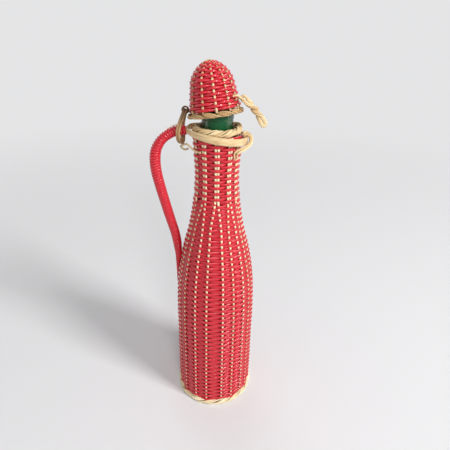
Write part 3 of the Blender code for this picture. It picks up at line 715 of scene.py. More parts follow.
class StrandTree:
    """Geometry nodes that carry a section along routes, plainly, woven in and out, or wound round them."""

    def __init__(self, lay: Lay) -> None:
        """Builds the tree.

        Args:
            lay: the way in which its strands follow their routes.
        """
        self.lay = lay
        self.tree = bpy.data.node_groups.new("strands_" + lay.value, "GeometryNodeTree")
        self.graph = Graph(self.tree)
        self.keys: dict[str, str] = {}
        sizes = {
            "Routes": "Geometry", "Sides": "Int", "Thickness": "Float", "Width": "Float",
            "Squareness": "Float", "Depth": "Float", "Swing": "Float", "Flatness": "Float",
            "Straightness": "Float", "Peak": "Float", "Pitch": "Float", "Material": "Material",
        }
        for name, kind in sizes.items():
            socket = self.tree.interface.new_socket(name, in_out="INPUT", socket_type="NodeSocket" + kind)
            self.keys[name] = socket.identifier
        self.tree.interface.new_socket("Strands", in_out="OUTPUT", socket_type="NodeSocketGeometry")
        entry = self.graph.node("NodeGroupInput", {}, {})
        self.given = {name: Wire(self.graph, entry.outputs[name]) for name in sizes}
        self.build()

    def named(self, name: str, kind: str = "FLOAT") -> Wire:
        """Attribute of the route's points."""
        return self.graph.wire("GeometryNodeInputNamedAttribute", {"data_type": kind}, {"Name": name})

    def facing(self) -> Wire:
        """Direction that the strand's section faces."""
        return self.named("out", "FLOAT_VECTOR")

    def store(self, geometry: Wire, name: str, value: Wire, kind: str = "FLOAT") -> Wire:
        """Stores an attribute.

        Args:
            geometry: the geometry whose points get it.
            name: the attribute's name.
            value: its value at each point.
            kind: its data type.

        Returns:
            The geometry with the attribute.
        """
        settings = {"data_type": kind, "domain": "POINT"}
        sockets = {"Geometry": geometry, "Name": name, "Value": value}
        return self.graph.wire("GeometryNodeStoreNamedAttribute", settings, sockets)

    def moved(self, geometry: Wire, offset: Wire) -> Wire:
        """Geometry with its points moved."""
        sockets = {"Geometry": geometry, "Offset": offset}
        return self.graph.wire("GeometryNodeSetPosition", {}, sockets)

    def woven(self, curve: Wire) -> Wire:
        """Lets a curve swing in and out between the canes, straight from one side to the other.

        Args:
            curve: the route on the cover's outline.

        Returns:
            The curve of the cord's middle, with how far it dips stored as tuck, the mask of the cord's
            painted shade.
        """
        flat, straight = self.given["Flatness"], self.given["Straightness"]
        turn = self.named("phase") * math.pi
        wave = turn.math("COSINE", turn) * flat
        wave = wave.math("TANH", wave) / flat.math("TANH", flat) * straight
        wave = wave.math("ARCSINE", wave) / straight.math("ARCSINE", straight)
        wave = wave.math("SIGN", wave) * wave.math("ABSOLUTE", wave) ** self.given["Peak"]
        # tuck masks the painted shade that the cord's finish adds where it dips behind the canes.
        curve = self.store(curve, "tuck", 0.5 - wave * 0.5)
        offset = self.graph.scaled(self.facing(), wave * self.given["Swing"] - self.given["Depth"])
        return self.moved(curve, offset)

    def wound(self, curve: Wire) -> Wire:
        """Lets a curve go round its route once in each pitch.

        Args:
            curve: the route that is wound.

        Returns:
            The curve of the cord's middle, with its outward direction stored as out.
        """
        length = self.graph.wire("GeometryNodeSplineParameter", {}, {}, "Length")
        turn = length / self.given["Pitch"] * (2 * math.pi)
        heading = self.graph.wire("GeometryNodeInputTangent", {}, {})
        side = self.facing()
        across = self.graph.vector("CROSS_PRODUCT", heading, side)
        out = self.graph.vector(
            "ADD", self.graph.scaled(side, turn.math("COSINE", turn)),
            self.graph.scaled(across, turn.math("SINE", turn))
        )
        curve = self.store(curve, "out", out, "FLOAT_VECTOR")
        inset = self.given["Thickness"] * 0.5
        offset = self.graph.scaled(self.facing(), self.named("reach") - inset)
        return self.moved(curve, offset)

    def profile(self) -> Wire:
        """Makes the section.

        Returns:
            A closed curve that keeps its own direction from the middle as around.
        """
        graph = self.graph
        circle = graph.wire(
            "GeometryNodeCurvePrimitiveCircle", {"mode": "RADIUS"},
            {"Resolution": self.given["Sides"], "Radius": 1.0}
        )
        place = graph.wire("GeometryNodeInputPosition", {}, {})
        circle = self.store(circle, "around", place, "FLOAT_VECTOR")
        parts = graph.node("ShaderNodeSeparateXYZ", {}, {0: self.named("around", "FLOAT_VECTOR")})
        sides = []
        for output, size in (("X", "Thickness"), ("Y", "Width")):
            part = Wire(graph, parts.outputs[output])
            full = part.math("ABSOLUTE", part) ** self.given["Squareness"]
            sides.append(part.math("SIGN", part) * full * self.given[size] * 0.5)
        corner = graph.joined(sides[0], sides[1], 0.0)
        return graph.wire("GeometryNodeSetPosition", {}, {"Geometry": circle, "Position": corner})

    def build(self) -> None:
        """Links the whole tree, from the routes to the finished strands."""
        graph = self.graph
        curve = graph.wire("GeometryNodeMeshToCurve", {}, {"Mesh": self.given["Routes"]})
        if self.lay is Lay.WOVEN:
            curve = self.woven(curve)
        elif self.lay is Lay.WOUND:
            curve = self.wound(curve)
        heading = graph.wire("GeometryNodeInputTangent", {}, {})
        out = self.facing()
        square = graph.vector("SUBTRACT", out, graph.scaled(heading, graph.dot(out, heading)))
        sockets = {"Curve": curve, "Normal": square}
        curve = graph.wire("GeometryNodeSetCurveNormal", {"mode": "FREE"}, sockets)
        length = graph.wire("GeometryNodeSplineParameter", {}, {}, "Length")
        curve = self.store(curve, "along", length)
        mesh = graph.wire("GeometryNodeCurveToMesh", {}, {
            "Curve": curve, "Profile Curve": self.profile(), "Scale": self.named("girth"), "Fill Caps": True
        })
        mesh = graph.wire("GeometryNodeSetShadeSmooth", {}, {"Geometry": mesh})
        mesh = graph.wire("GeometryNodeRealizeInstances", {}, {"Geometry": mesh})
        mesh = graph.wire(
            "GeometryNodeSetMaterial", {}, {"Geometry": mesh, "Material": self.given["Material"]}
        )
        graph.node("NodeGroupOutput", {}, {"Strands": mesh})


class Workshop:
    """Makes meshes of strands and turned forms, and hands the finished pieces to the frame."""

    HELPERS = ("out", "girth", "phase", "reach")

    def __init__(self) -> None:
        """Starts with no trees built."""
        self.trees: dict[Lay, StrandTree] = {}

    def routes(self, name: str, strands: Sequence[Strand]) -> bpy.types.Mesh:
        """Makes the routes that a tree carries a section along.

        Args:
            name: the mesh's name.
            strands: the strands.

        Returns:
            A mesh of edges along the routes, with the strands' values on its points.
        """
        points, edges = [], []
        columns: dict[str, list[Points]] = {key: [] for key in ("girth", "phase", "reach", "painted_shade", "tone")}
        outs = []
        for strand in strands:
            first = sum(len(part) for part in points)
            count = len(strand.points)
            points.append(strand.points)
            outs.append(np.broadcast_to(strand.out, (count, 3)))
            edges += [(first + i, first + i + 1) for i in range(count - 1)]
            if strand.closed:
                edges.append((first + count - 1, first))
            for key, column in columns.items():
                column.append(np.broadcast_to(np.asarray(getattr(strand, key), float), count))
        mesh = bpy.data.meshes.new(name)
        mesh.from_pydata(np.vstack(points), edges, [])
        for key, column in columns.items():
            values = np.concatenate(column).astype(np.float32)
            mesh.attributes.new(key, "FLOAT", "POINT").data.foreach_set("value", values)
        values = np.vstack(outs).astype(np.float32).ravel()
        mesh.attributes.new("out", "FLOAT_VECTOR", "POINT").data.foreach_set("vector", values)
        return mesh

    def sweep(
        self, name: str, strands: Sequence[Strand], section: Section, finish: bpy.types.Material,
        lay: Lay = Lay.PLAIN, weave: Weave = Weave(0, 0, 1), pitch: float = 1.0
    ) -> bpy.types.Object:
        """Object of strands with one section.

        Args:
            name: the object's name.
            strands: the routes.
            section: the strands' section.
            finish: their material.
            lay: how they follow their routes.
            weave: the wave of woven strands.
            pitch: length of route for one turn of a wound strand.

        Returns:
            An object with a plain mesh, in place.
        """
        if lay not in self.trees:
            self.trees[lay] = StrandTree(lay)
        tree = self.trees[lay]
        source = bpy.data.objects.new(name + "_routes", self.routes(name, strands))
        bpy.context.scene.collection.objects.link(source)
        modifier = source.modifiers.new("strands", "NODES")
        modifier.node_group = tree.tree
        values = {
            "Sides": section.sides, "Thickness": section.thickness, "Width": section.width,
            "Squareness": section.squareness, "Depth": weave.depth, "Swing": weave.swing,
            "Flatness": weave.flatness, "Straightness": weave.straightness, "Peak": weave.peak,
            "Pitch": pitch, "Material": finish,
        }
        for key, value in values.items():
            modifier[tree.keys[key]] = value
        graph = bpy.context.evaluated_depsgraph_get()
        mesh = bpy.data.meshes.new_from_object(
            source.evaluated_get(graph), preserve_all_data_layers=True, depsgraph=graph
        )
        mesh.name = name
        for helper in self.HELPERS:
            if helper in mesh.attributes:
                mesh.attributes.remove(mesh.attributes[helper])
        bpy.data.objects.remove(source)
        return self.add(name, mesh)

    def add(self, name: str, mesh: bpy.types.Mesh) -> bpy.types.Object:
        """Puts a mesh into the scene at the origin.

        Args:
            name: the new object's name.
            mesh: the mesh.

        Returns:
            The object.
        """
        made = bpy.data.objects.new(name, mesh)
        bpy.context.scene.collection.objects.link(made)
        return made

    def turned(
        self, name: str, profile: Sequence[tuple[float, float]], steps: int, finish: bpy.types.Material
    ) -> bpy.types.Object:
        """Object of a closed profile turned round Z.

        Args:
            name: the object's name.
            profile: (radius, height) points, from the axis round to the axis again.
            steps: how many steps a turn has.
            finish: its material.

        Returns:
            An object with a closed mesh.
        """
        turns = np.arange(steps) * 2 * math.pi / steps
        verts: list[Any] = []
        rings: list[list[int]] = []
        for radius, height in profile:
            first = len(verts)
            if radius < 1e-9:
                verts.append((0.0, 0.0, height))
                rings.append([first] * steps)
            else:
                verts += [tuple(point) for point in polar(radius, turns, height)]
                rings.append(list(range(first, first + steps)))
        faces = []
        for ring, following in zip(rings, rings[1:]):
            for i in range(steps):
                j = (i + 1) % steps
                corners = [ring[i], following[i], following[j], ring[j]]
                faces.append([c for k, c in enumerate(corners) if c not in corners[:k]])
        mesh = bpy.data.meshes.new(name)
        mesh.from_pydata(verts, [], faces)
        mesh.materials.append(finish)
        mesh.shade_smooth()
        return self.add(name, mesh)

    def join(self, name: str, objects: Sequence[bpy.types.Object]) -> bpy.types.Object:
        """Joins objects, whose meshes keep their attributes and materials.

        Args:
            name: name of the joined object.
            objects: the objects, of which the first one stays.

        Returns:
            The joined object.
        """
        with bpy.context.temp_override(
            active_object=objects[0], object=objects[0], selected_objects=list(objects),
            selected_editable_objects=list(objects)
        ):
            bpy.ops.object.join()
        objects[0].name = objects[0].data.name = name
        return objects[0]

    def place(self, piece: bpy.types.Object, body: Body, slot: Slot, names: Sequence[str]) -> None:
        """Lets a finished piece ride on its body in place of the nodes it stands for.

        Args:
            piece: the piece.
            body: the body that it rides on.
            slot: its material slot; not used.
            names: the nodes that it stands for.
        """
        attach(piece, body.value)
        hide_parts(*names)
        log.info("%s: %d faces on %s", piece.name, len(piece.data.polygons), body.value)


@dataclass(frozen=True)
class Palette:
    """Materials of the object, made once."""

    cord: bpy.types.Material
    pale_cane: bpy.types.Material
    cream_cane: bpy.types.Material
    tan_cane: bpy.types.Material
    brown_cane: bpy.types.Material
    thread: bpy.types.Material
    glass: bpy.types.Material
    cork: bpy.types.Material

    @classmethod
    def made(cls) -> "Palette":
        """Makes all the object's materials.

        Returns:
            The palette of them.
        """
        return cls(
            cord=CordFinish("red_cord_gloss").material(),
            pale_cane=CaneFinish("cane_pale", (0.97, 0.88, 0.64), (0.76, 0.58, 0.32)).material(),
            cream_cane=CaneFinish("cane_cream", (0.88, 0.72, 0.43)).material(),
            tan_cane=CaneFinish("cane_tan", (0.72, 0.49, 0.23), (0.34, 0.18, 0.07)).material(),
            # The brown cane is painted shadow: the dark colour of the eye in the shade behind the cap.
            brown_cane=CaneFinish("cane_brown_painted_shadow", (0.50, 0.30, 0.14), (0.20, 0.10, 0.04)).material(),
            thread=CaneFinish("cane_bleached", (0.96, 0.92, 0.82), (0.84, 0.76, 0.60)).material(),
            glass=GlassFinish("bottle_glass_green").material(),
            cork=CorkFinish("natural_cork").material(),
        )


# Woven cover


@dataclass
class Cover:
    """Woven cover of body and neck: canes, the cords woven over them, and the folded borders."""

    shop: Workshop
    palette: Palette
    body_radius: float = 0.0403
    neck_radius: float = 0.0202
    height: float = 0.2913
    outline: Outline = Outline((
        (0.0, 1.0), (0.137, 0.996), (0.275, 0.980), (0.412, 0.965), (0.515, 0.871), (0.618, 0.613),
        (0.704, 0.290), (0.790, 0.090), (0.875, 0.0), (0.961, 0.060), (1.0, 0.075),
    ))
    split: float = 0.2338
    foot: float = 0.0055
    stake_foot: float = 0.0036
    pairing_shares: tuple[float, float] = (0.703, 0.828)
    pair_turns: tuple[tuple[float, float, float], ...] = (
        (-86.0, -71.5, -66.5), (-53.5, -31.3, -32.8), (-13.0, 11.4, 0.6), (28.4, 48.0, 34.2),
        (62.6, 79.0, 62.5), (93.5, 108.7, 93.5), (124.4, 140.1, 125.6), (155.8, 171.5, 159.5),
        (187.2, 202.0, 193.4), (216.8, 231.4, 227.3), (245.8, 259.8, 261.2),
    )
    stake: Section = Section(0.0013, 0.0020, 8, 0.9)
    stake_depth: float = 0.00195
    stake_gap: float = 0.00015
    stake_swing: float = 0.0004
    body_cord: Section = Section(0.0017, 0.00272, 12, 0.82)
    body_weave: Weave = Weave(0.00205, 0.0012, 0.5, 0.96, 1.7)
    body_samples: int = 8
    chord_share: float = 1.0
    neck_chord_share: float = 0.45
    row_pitch: tuple[tuple[float, float], ...] = (
        (0.0, 0.00271), (0.075, 0.00272), (0.095, 0.00277), (0.125, 0.00277), (0.150, 0.00266),
        (0.180, 0.00253), (0.210, 0.00245), (0.229, 0.00236),
    )
    first_row: float = 0.0116
    first_row_stake: int = 3
    neck_cord: Section = Section(0.0017, 0.00256, 12, 0.82)
    neck_weave: Weave = Weave(0.00205, 0.0012, 1.8, 0.94, 1.35)
    neck_samples: int = 10
    neck_pitch: float = 0.002575
    neck_row: float = 0.23265
    neck_start: float = 0.2351
    tuck_in: float = 0.0012
    neck_end: float = 0.2905
    end_girth: float = 0.35
    body_fade: float = 0.6
    neck_fade: float = 0.4
    cane_rows: float = 2.5
    table_rows: int = 3000
    seed: int = 4

    def __post_init__(self) -> None:
        """Works out how many canes a body weaver has passed at each height."""
        self.rng = np.random.default_rng(self.seed)
        self.heights = np.linspace(0, self.height, self.table_rows)
        pitch = np.interp(self.heights, *np.array(self.row_pitch).T)
        step = np.diff(self.heights)
        canes = len(self.pair_turns)
        passed = np.concatenate(([0], np.cumsum(step * canes / ((pitch[1:] + pitch[:-1]) / 2))))
        start = np.interp(self.first_row, self.heights, passed)
        self.passed = passed - start + self.first_row_stake

    def radius(self, z: Any) -> Points:
        """Outside radius of the cover."""
        share = self.outline.at(np.asarray(z) / self.height)
        return self.neck_radius + (self.body_radius - self.neck_radius) * share

    def facing(self, turn: Any, z: Any) -> Points:
        """Direction square to the cover's surface.

        Args:
            turn: angles round the cover.
            z: heights.

        Returns:
            Vectors of length 1.
        """
        z = np.asarray(z, float)
        step = 0.0005
        slope = (self.radius(z + step) - self.radius(z - step)) / (2 * step)
        level = 1 / np.sqrt(1 + slope**2)
        return polar(level, turn, -slope * level)

    def cane_turns(self, z: Any) -> Points:
        """Angles of the canes.

        Args:
            z: heights.

        Returns:
            One row for each cane.
        """
        z = np.asarray(z, float)
        inner = self.neck_radius - self.stake_depth
        half_pair = (self.stake.width + self.stake_gap) / 2 / inner
        paired = smooth_step(*self.pairing_shares, z / self.height)
        rows = []
        for left, right, neck in self.pair_turns:
            for body_turn, side in ((left, -1), (right, 1)):
                on_neck = math.radians(neck) + side * half_pair
                rows.append((1 - paired) * math.radians(body_turn) + paired * on_neck)
        return np.array(rows)

    def chord(self, count: Points, spans: int, share: float) -> Points:
        """Draws a cord straight, and not round, between canes.

        Args:
            count: how many canes are passed at each point.
            spans: how many spans there are in a round.
            share: 0 for a round cord, 1 for a straight one.

        Returns:
            A factor on the radius at each point.
        """
        span = 2 * math.pi / spans
        straight = math.cos(span / 2) / np.cos((count % 1 - 0.5) * span)
        return 1 - share * (1 - straight)

    def girth(self, low: float, high: float, fade: float, count: Points) -> Points:
        """Girth of a cord that grows from its start and fades towards its end."""
        grow = smooth_step(low, low + fade, count) * smooth_step(-high, -high + fade, -count)
        return self.end_girth + (1 - self.end_girth) * grow

    def body_weaver(self, start: int) -> Strand:
        """One of the two cords that chase each other up the body.

        Args:
            start: 0 for the first, 1 for the one that runs a row above it.

        Returns:
            The cord's route on the cover's outline.
        """
        canes = 2 * len(self.pair_turns)
        low = np.interp(self.foot, self.heights, self.passed)
        high = np.interp(self.split + self.body_cord.width / 2, self.heights, self.passed)
        ahead = start * canes / 2
        passed = np.arange(math.ceil(low * self.body_samples), high * self.body_samples) / self.body_samples
        z = np.interp(passed, self.passed, self.heights)
        count = passed - ahead
        turn = passed_turn(self.cane_turns(z), count)
        radius = self.radius(z) * self.chord(count, canes, self.chord_share)
        radius = radius - self.tuck_in * smooth_step(-self.body_cord.width / 2, 0, z - self.split)
        girth = self.girth(low, high, self.body_fade, passed)
        return Strand(
            polar(radius, turn, z), self.facing(turn, z), girth, count + start, tone=0.3 + 0.4 * start
        )

    def neck_weaver(self) -> Strand:
        """The single cord woven over pairs of canes on the neck.

        Returns:
            The cord's route on the cover's outline.
        """
        pairs = len(self.pair_turns)
        climb = self.neck_pitch / pairs
        low = 1 + (self.neck_start - self.neck_row) / climb
        high = 1 + (self.neck_end - self.neck_row) / climb
        count = np.arange(math.ceil(low * self.neck_samples), high * self.neck_samples) / self.neck_samples
        z = self.neck_row + (count - 1) * climb
        turns = self.cane_turns(z)
        turn = passed_turn((turns[0::2] + turns[1::2]) / 2, count)
        radius = self.radius(z) * self.chord(count, pairs, self.neck_chord_share)
        girth = self.girth(low, high, self.neck_fade, count)
        return Strand(polar(radius, turn, z), self.facing(turn, z), girth, count)

    def cane_swing(self, index: int, z: Points) -> Points:
        """How far a cane gives way to the cords that pass it.

        Args:
            index: the cane's number round the cover.
            z: heights along it.

        Returns:
            Distances, outwards where a cord lies behind the cane.
        """
        pairs = len(self.pair_turns)
        rounds = (np.interp(z, self.heights, self.passed) - index) / (2 * pairs)
        on_body = -math.cos(math.pi * index) * np.cos(2 * math.pi * rounds)
        pair = index // 2
        climbed = 1 + (z - self.neck_row) * pairs / self.neck_pitch
        on_neck = -math.cos(math.pi * pair) * np.cos(math.pi * (climbed - pair) / pairs)
        return np.where(z < self.split, on_body, on_neck) * self.stake_swing

    def canes(self) -> list[Strand]:
        """Canes from the base to the neck's rim.

        Returns:
            A strand for each cane.
        """
        z = np.arange(self.stake_foot, self.height, self.neck_pitch / self.cane_rows)
        turns = self.cane_turns(z)
        made = []
        for index in range(2 * len(self.pair_turns)):
            facing = self.facing(turns[index], z)
            inwards = (self.stake_depth - self.cane_swing(index, z))[:, None]
            points = polar(self.radius(z), turns[index], z) - facing * inwards
            made.append(Strand(points, facing, tone=float(self.rng.random())))
        return made

    def build(self) -> None:
        """Makes the canes, the woven cords and the borders."""
        shop, palette = self.shop, self.palette
        names = [f"stake_{i + 1:02d}" for i in range(2 * len(self.pair_turns))]
        canes = shop.sweep("cover_canes", self.canes(), self.stake, palette.pale_cane)
        shop.place(canes, Body.BOTTLE, Slot.CANE, names)
        for start, name in enumerate(("body_cord_lower", "body_cord_upper")):
            cord = shop.sweep(
                name, [self.body_weaver(start)], self.body_cord, palette.cord, Lay.WOVEN, self.body_weave
            )
            shop.place(cord, Body.BOTTLE, Slot.CORD, ["body_weave"])
        cord = shop.sweep(
            "neck_cord", [self.neck_weaver()], self.neck_cord, palette.cord, Lay.WOVEN, self.neck_weave
        )
        shop.place(cord, Body.BOTTLE, Slot.CORD, ["neck_weave"])
        self.build_borders()

    def build_borders(self) -> None:
        """Makes the plaited rim on top of the neck and the twisted border round the foot."""
        shop, palette, roll = self.shop, self.palette, (-80.0, 150.0)
        pairs = np.radians([neck for _, _, neck in self.pair_turns])
        FoldedBorder(
            shop, palette.cream_cane, "neck_rim_canes", "neck_rim", Body.BOTTLE, pairs,
            ring=0.0177, height=0.2943, half_thick=0.0033, half_tall=0.0030,
            section=Section(0.0014, 0.0027, 10, 0.75), canes=2, spacing=0.0026, reach=2.1, roll_deg=roll,
            crest=0.0028
        ).build()
        FoldedBorder(
            shop, palette.pale_cane, "base_border_canes", "base_border", Body.BOTTLE,
            self.cane_turns(0.0), ring=0.0386, height=0.0032, half_thick=0.0025, half_tall=0.0026,
            section=Section(0.0014, 0.0018, 10, 0.85), canes=2, spacing=0.0017, reach=2.4, roll_deg=roll,
            seed=9
        ).build()


@dataclass
class FoldedBorder:
    """Border of canes that are folded over one another in turn round a ring.

    A crest lifts the folds that start near its turn.
    """

    shop: Workshop
    finish: bpy.types.Material
    name: str
    node: str
    body: Body
    turns: Points
    ring: float
    height: float
    half_thick: float
    half_tall: float
    section: Section
    canes: int
    spacing: float
    reach: float
    roll_deg: tuple[float, float]
    place: Matrix = field(default_factory=Matrix)
    crest: float = 0.0
    crest_turn: float = 0.9
    crest_width: float = 0.35
    samples: int = 26
    steady: float = 0.35
    end_girth: float = 0.55
    end_shade: float = 0.5
    girth_fade: float = 0.35
    shade_fade: float = 0.3
    wander: float = 0.00025
    seed: int = 7

    def fold(self, index: int, rng: np.random.Generator) -> list[Strand]:
        """Canes of one fold, from where they come up to where they are tucked in.

        Args:
            index: the fold's number round the ring.
            rng: source of how they stray and of their tones.

        Returns:
            The fold's canes, side by side.
        """
        share = np.linspace(0, 1, self.samples)
        turn = passed_turn(self.turns, index + share * self.reach)
        start, end = np.radians(self.roll_deg)
        steady = self.steady
        roll = start + (end - start) * (steady * share + (1 - steady) * smooth_step(0, 1, share))
        thick = self.section.thickness / 2
        arch = np.sin(math.pi * share)
        off_crest = (float(self.turns[index]) - self.crest_turn) / self.crest_width
        raised = self.crest * math.exp(-off_crest ** 2) * arch
        stray = rng.normal(0, self.wander, 2)
        radius = self.ring + (self.half_thick - thick + stray[0]) * np.cos(roll)
        z = self.height + (self.half_tall - thick + stray[1]) * np.sin(roll) + raised
        out = polar(np.cos(roll) / self.half_thick, turn, np.sin(roll) / self.half_tall)
        girth = self.end_girth + (1 - self.end_girth) * np.clip(arch / self.girth_fade, 0, 1)
        # Painted shade: the fold's ends, where it goes in under its neighbours, are darkened.
        painted_shade = self.end_shade * (1 - np.clip(arch / self.shade_fade, 0, 1))
        strand = Strand(polar(radius, turn, z), unit(out), girth, painted_shade=painted_shade)
        return strand.bundle(self.canes, self.spacing, rng)

    def build(self) -> None:
        """Makes the border and puts it in place of its node."""
        rng = np.random.default_rng(self.seed)
        folds = [self.fold(index, rng) for index in range(len(self.turns))]
        strands = [strand.moved(self.place) for fold in folds for strand in fold]
        border = self.shop.sweep(self.name, strands, self.section, self.finish)
        self.shop.place(border, self.body, Slot.CANE, [self.node])


# Glass, cork and base


@dataclass
class Glass:
    """Green glass bottle and the cork in its mouth."""

    shop: Workshop
    palette: Palette
    cover: Cover
    cover_depth: float = 0.0062
    wall: float = 0.0030
    foot: float = 0.0035
    heel: float = 0.0030
    punt: float = 0.0120
    waist_share: float = 0.875
    finish_step: float = 0.0006
    mouth: float = 0.3100
    lip_width: float = 0.0004
    lip_height: float = 0.0060
    bore: float = 0.0095
    edge: float = 0.0006
    cork_inset: float = 0.0110
    cork_head: float = 0.0050
    cork_gap: float = 0.0003
    rows: int = 60
    punt_rows: int = 6
    steps: int = 96
    cork_steps: int = 64

    def outside(self, z: float) -> float:
        """Outside radius of the glass under the cover and above it.

        Args:
            z: the height.

        Returns:
            The radius there.
        """
        waist = self.waist_share * self.cover.height
        straight = self.cover.neck_radius - self.cover_depth - self.finish_step
        if z > waist:
            return straight + self.finish_step * (1 - float(smooth_step(waist, self.cover.height, z)))
        return float(self.cover.radius(z)) - self.cover_depth

    def hollow(self, base: float, height: float) -> list[tuple[float, float]]:
        """Profile of the hollow under the bottle, from the axis outwards."""
        shares = np.linspace(0, 1, self.punt_rows)
        return [(base / 2 * s, height + self.punt * (1 - s * s / 2)) for s in shares]

    def build(self) -> None:
        """Makes the bottle and the cork."""
        rows = np.linspace(self.foot + self.heel, self.cover.height, self.rows)
        outer = [(self.outside(z), float(z)) for z in rows]
        inner = [(max(r - self.wall, self.bore), z) for r, z in outer]
        base, neck, edge = outer[0][0], outer[-1][0], self.edge
        lip = neck + self.lip_width
        low_lip = self.mouth - self.lip_height
        profile = [
            *self.hollow(base, self.foot),
            (base - 2 * self.heel, self.foot),
            *rounded(base, self.foot, -self.heel, self.heel, True),
            *outer[1:],
            (neck, low_lip - 2 * edge), (neck, low_lip - edge),
            (lip, low_lip), (lip, low_lip + edge), (lip, self.mouth - 2 * edge),
            *rounded(lip, self.mouth, -edge, -edge, False),
            *rounded(self.bore, self.mouth, edge, -edge, True),
            *reversed(inner),
            (base - 2.2 * self.heel, self.foot + self.wall),
            *reversed(self.hollow(base, self.foot + self.wall)),
        ]
        glass = self.shop.turned("glass_bottle_smooth", profile, self.steps, self.palette.glass)
        self.shop.place(glass, Body.BOTTLE, Slot.GLASS, ["glass_bottle"])
        self.build_cork()

    def build_cork(self) -> None:
        """Makes the cork, with a small round edge at both ends."""
        radius, edge = self.bore - self.cork_gap, self.edge
        top, bottom = self.mouth + self.cork_head, self.mouth - self.cork_inset
        profile = [
            (0.0, bottom),
            *rounded(radius, bottom, -edge, edge, True),
            *rounded(radius, top, -edge, -edge, False),
            (0.0, top),
        ]
        cork = self.shop.turned("cork_natural", profile, self.cork_steps, self.palette.cork)
        self.shop.place(cork, Body.CORK, Slot.CORK, ["cork_stopper"])


@dataclass
class Base:
    """Woven cane base under the bottle: spokes and a cane woven round them."""

    shop: Workshop
    palette: Palette
    cover: Cover
    radius: float = 0.0360
    middle: float = 0.00165
    swing: float = 0.00062
    spoke: Section = Section(0.0014, 0.0020, 8, 0.8)
    weaver: Section = Section(0.0013, 0.0020, 8, 0.8)
    row_pitch: float = 0.0020
    first_row: float = 0.0050
    hub: float = 0.0012
    spoke_points: int = 24
    samples: int = 6
    flatness: float = 1.5
    seed: int = 11

    def build(self) -> None:
        """Makes the spokes and the weaver as one piece."""
        rng = np.random.default_rng(self.seed)
        turns = self.cover.cane_turns(0.0)
        down = np.array((0.0, 0.0, -1.0))
        reach = np.linspace(self.hub, self.radius, self.spoke_points)
        spokes = [
            Strand(polar(reach, turn, self.middle), down, tone=float(rng.random())) for turn in turns
        ]
        middles = (turns[0::2] + turns[1::2]) / 2
        rounds = (self.radius - self.first_row) / self.row_pitch
        count = np.linspace(0, rounds * len(middles), int(rounds * len(middles) * self.samples))
        turn = passed_turn(middles, count)
        reach = self.first_row + count / len(middles) * self.row_pitch
        route = Strand(polar(reach, turn, self.middle), down, phase=count)
        weave = Weave(0.0, self.swing, self.flatness)
        parts = [
            self.shop.sweep("base_spokes", spokes, self.spoke, self.palette.cream_cane),
            self.shop.sweep(
                "base_weaver", [route], self.weaver, self.palette.cream_cane, Lay.WOVEN, weave
            ),
        ]
        self.shop.place(self.shop.join("woven_base", parts), Body.BOTTLE, Slot.CANE, ["base_mat"])


# Handle, band and loose strands


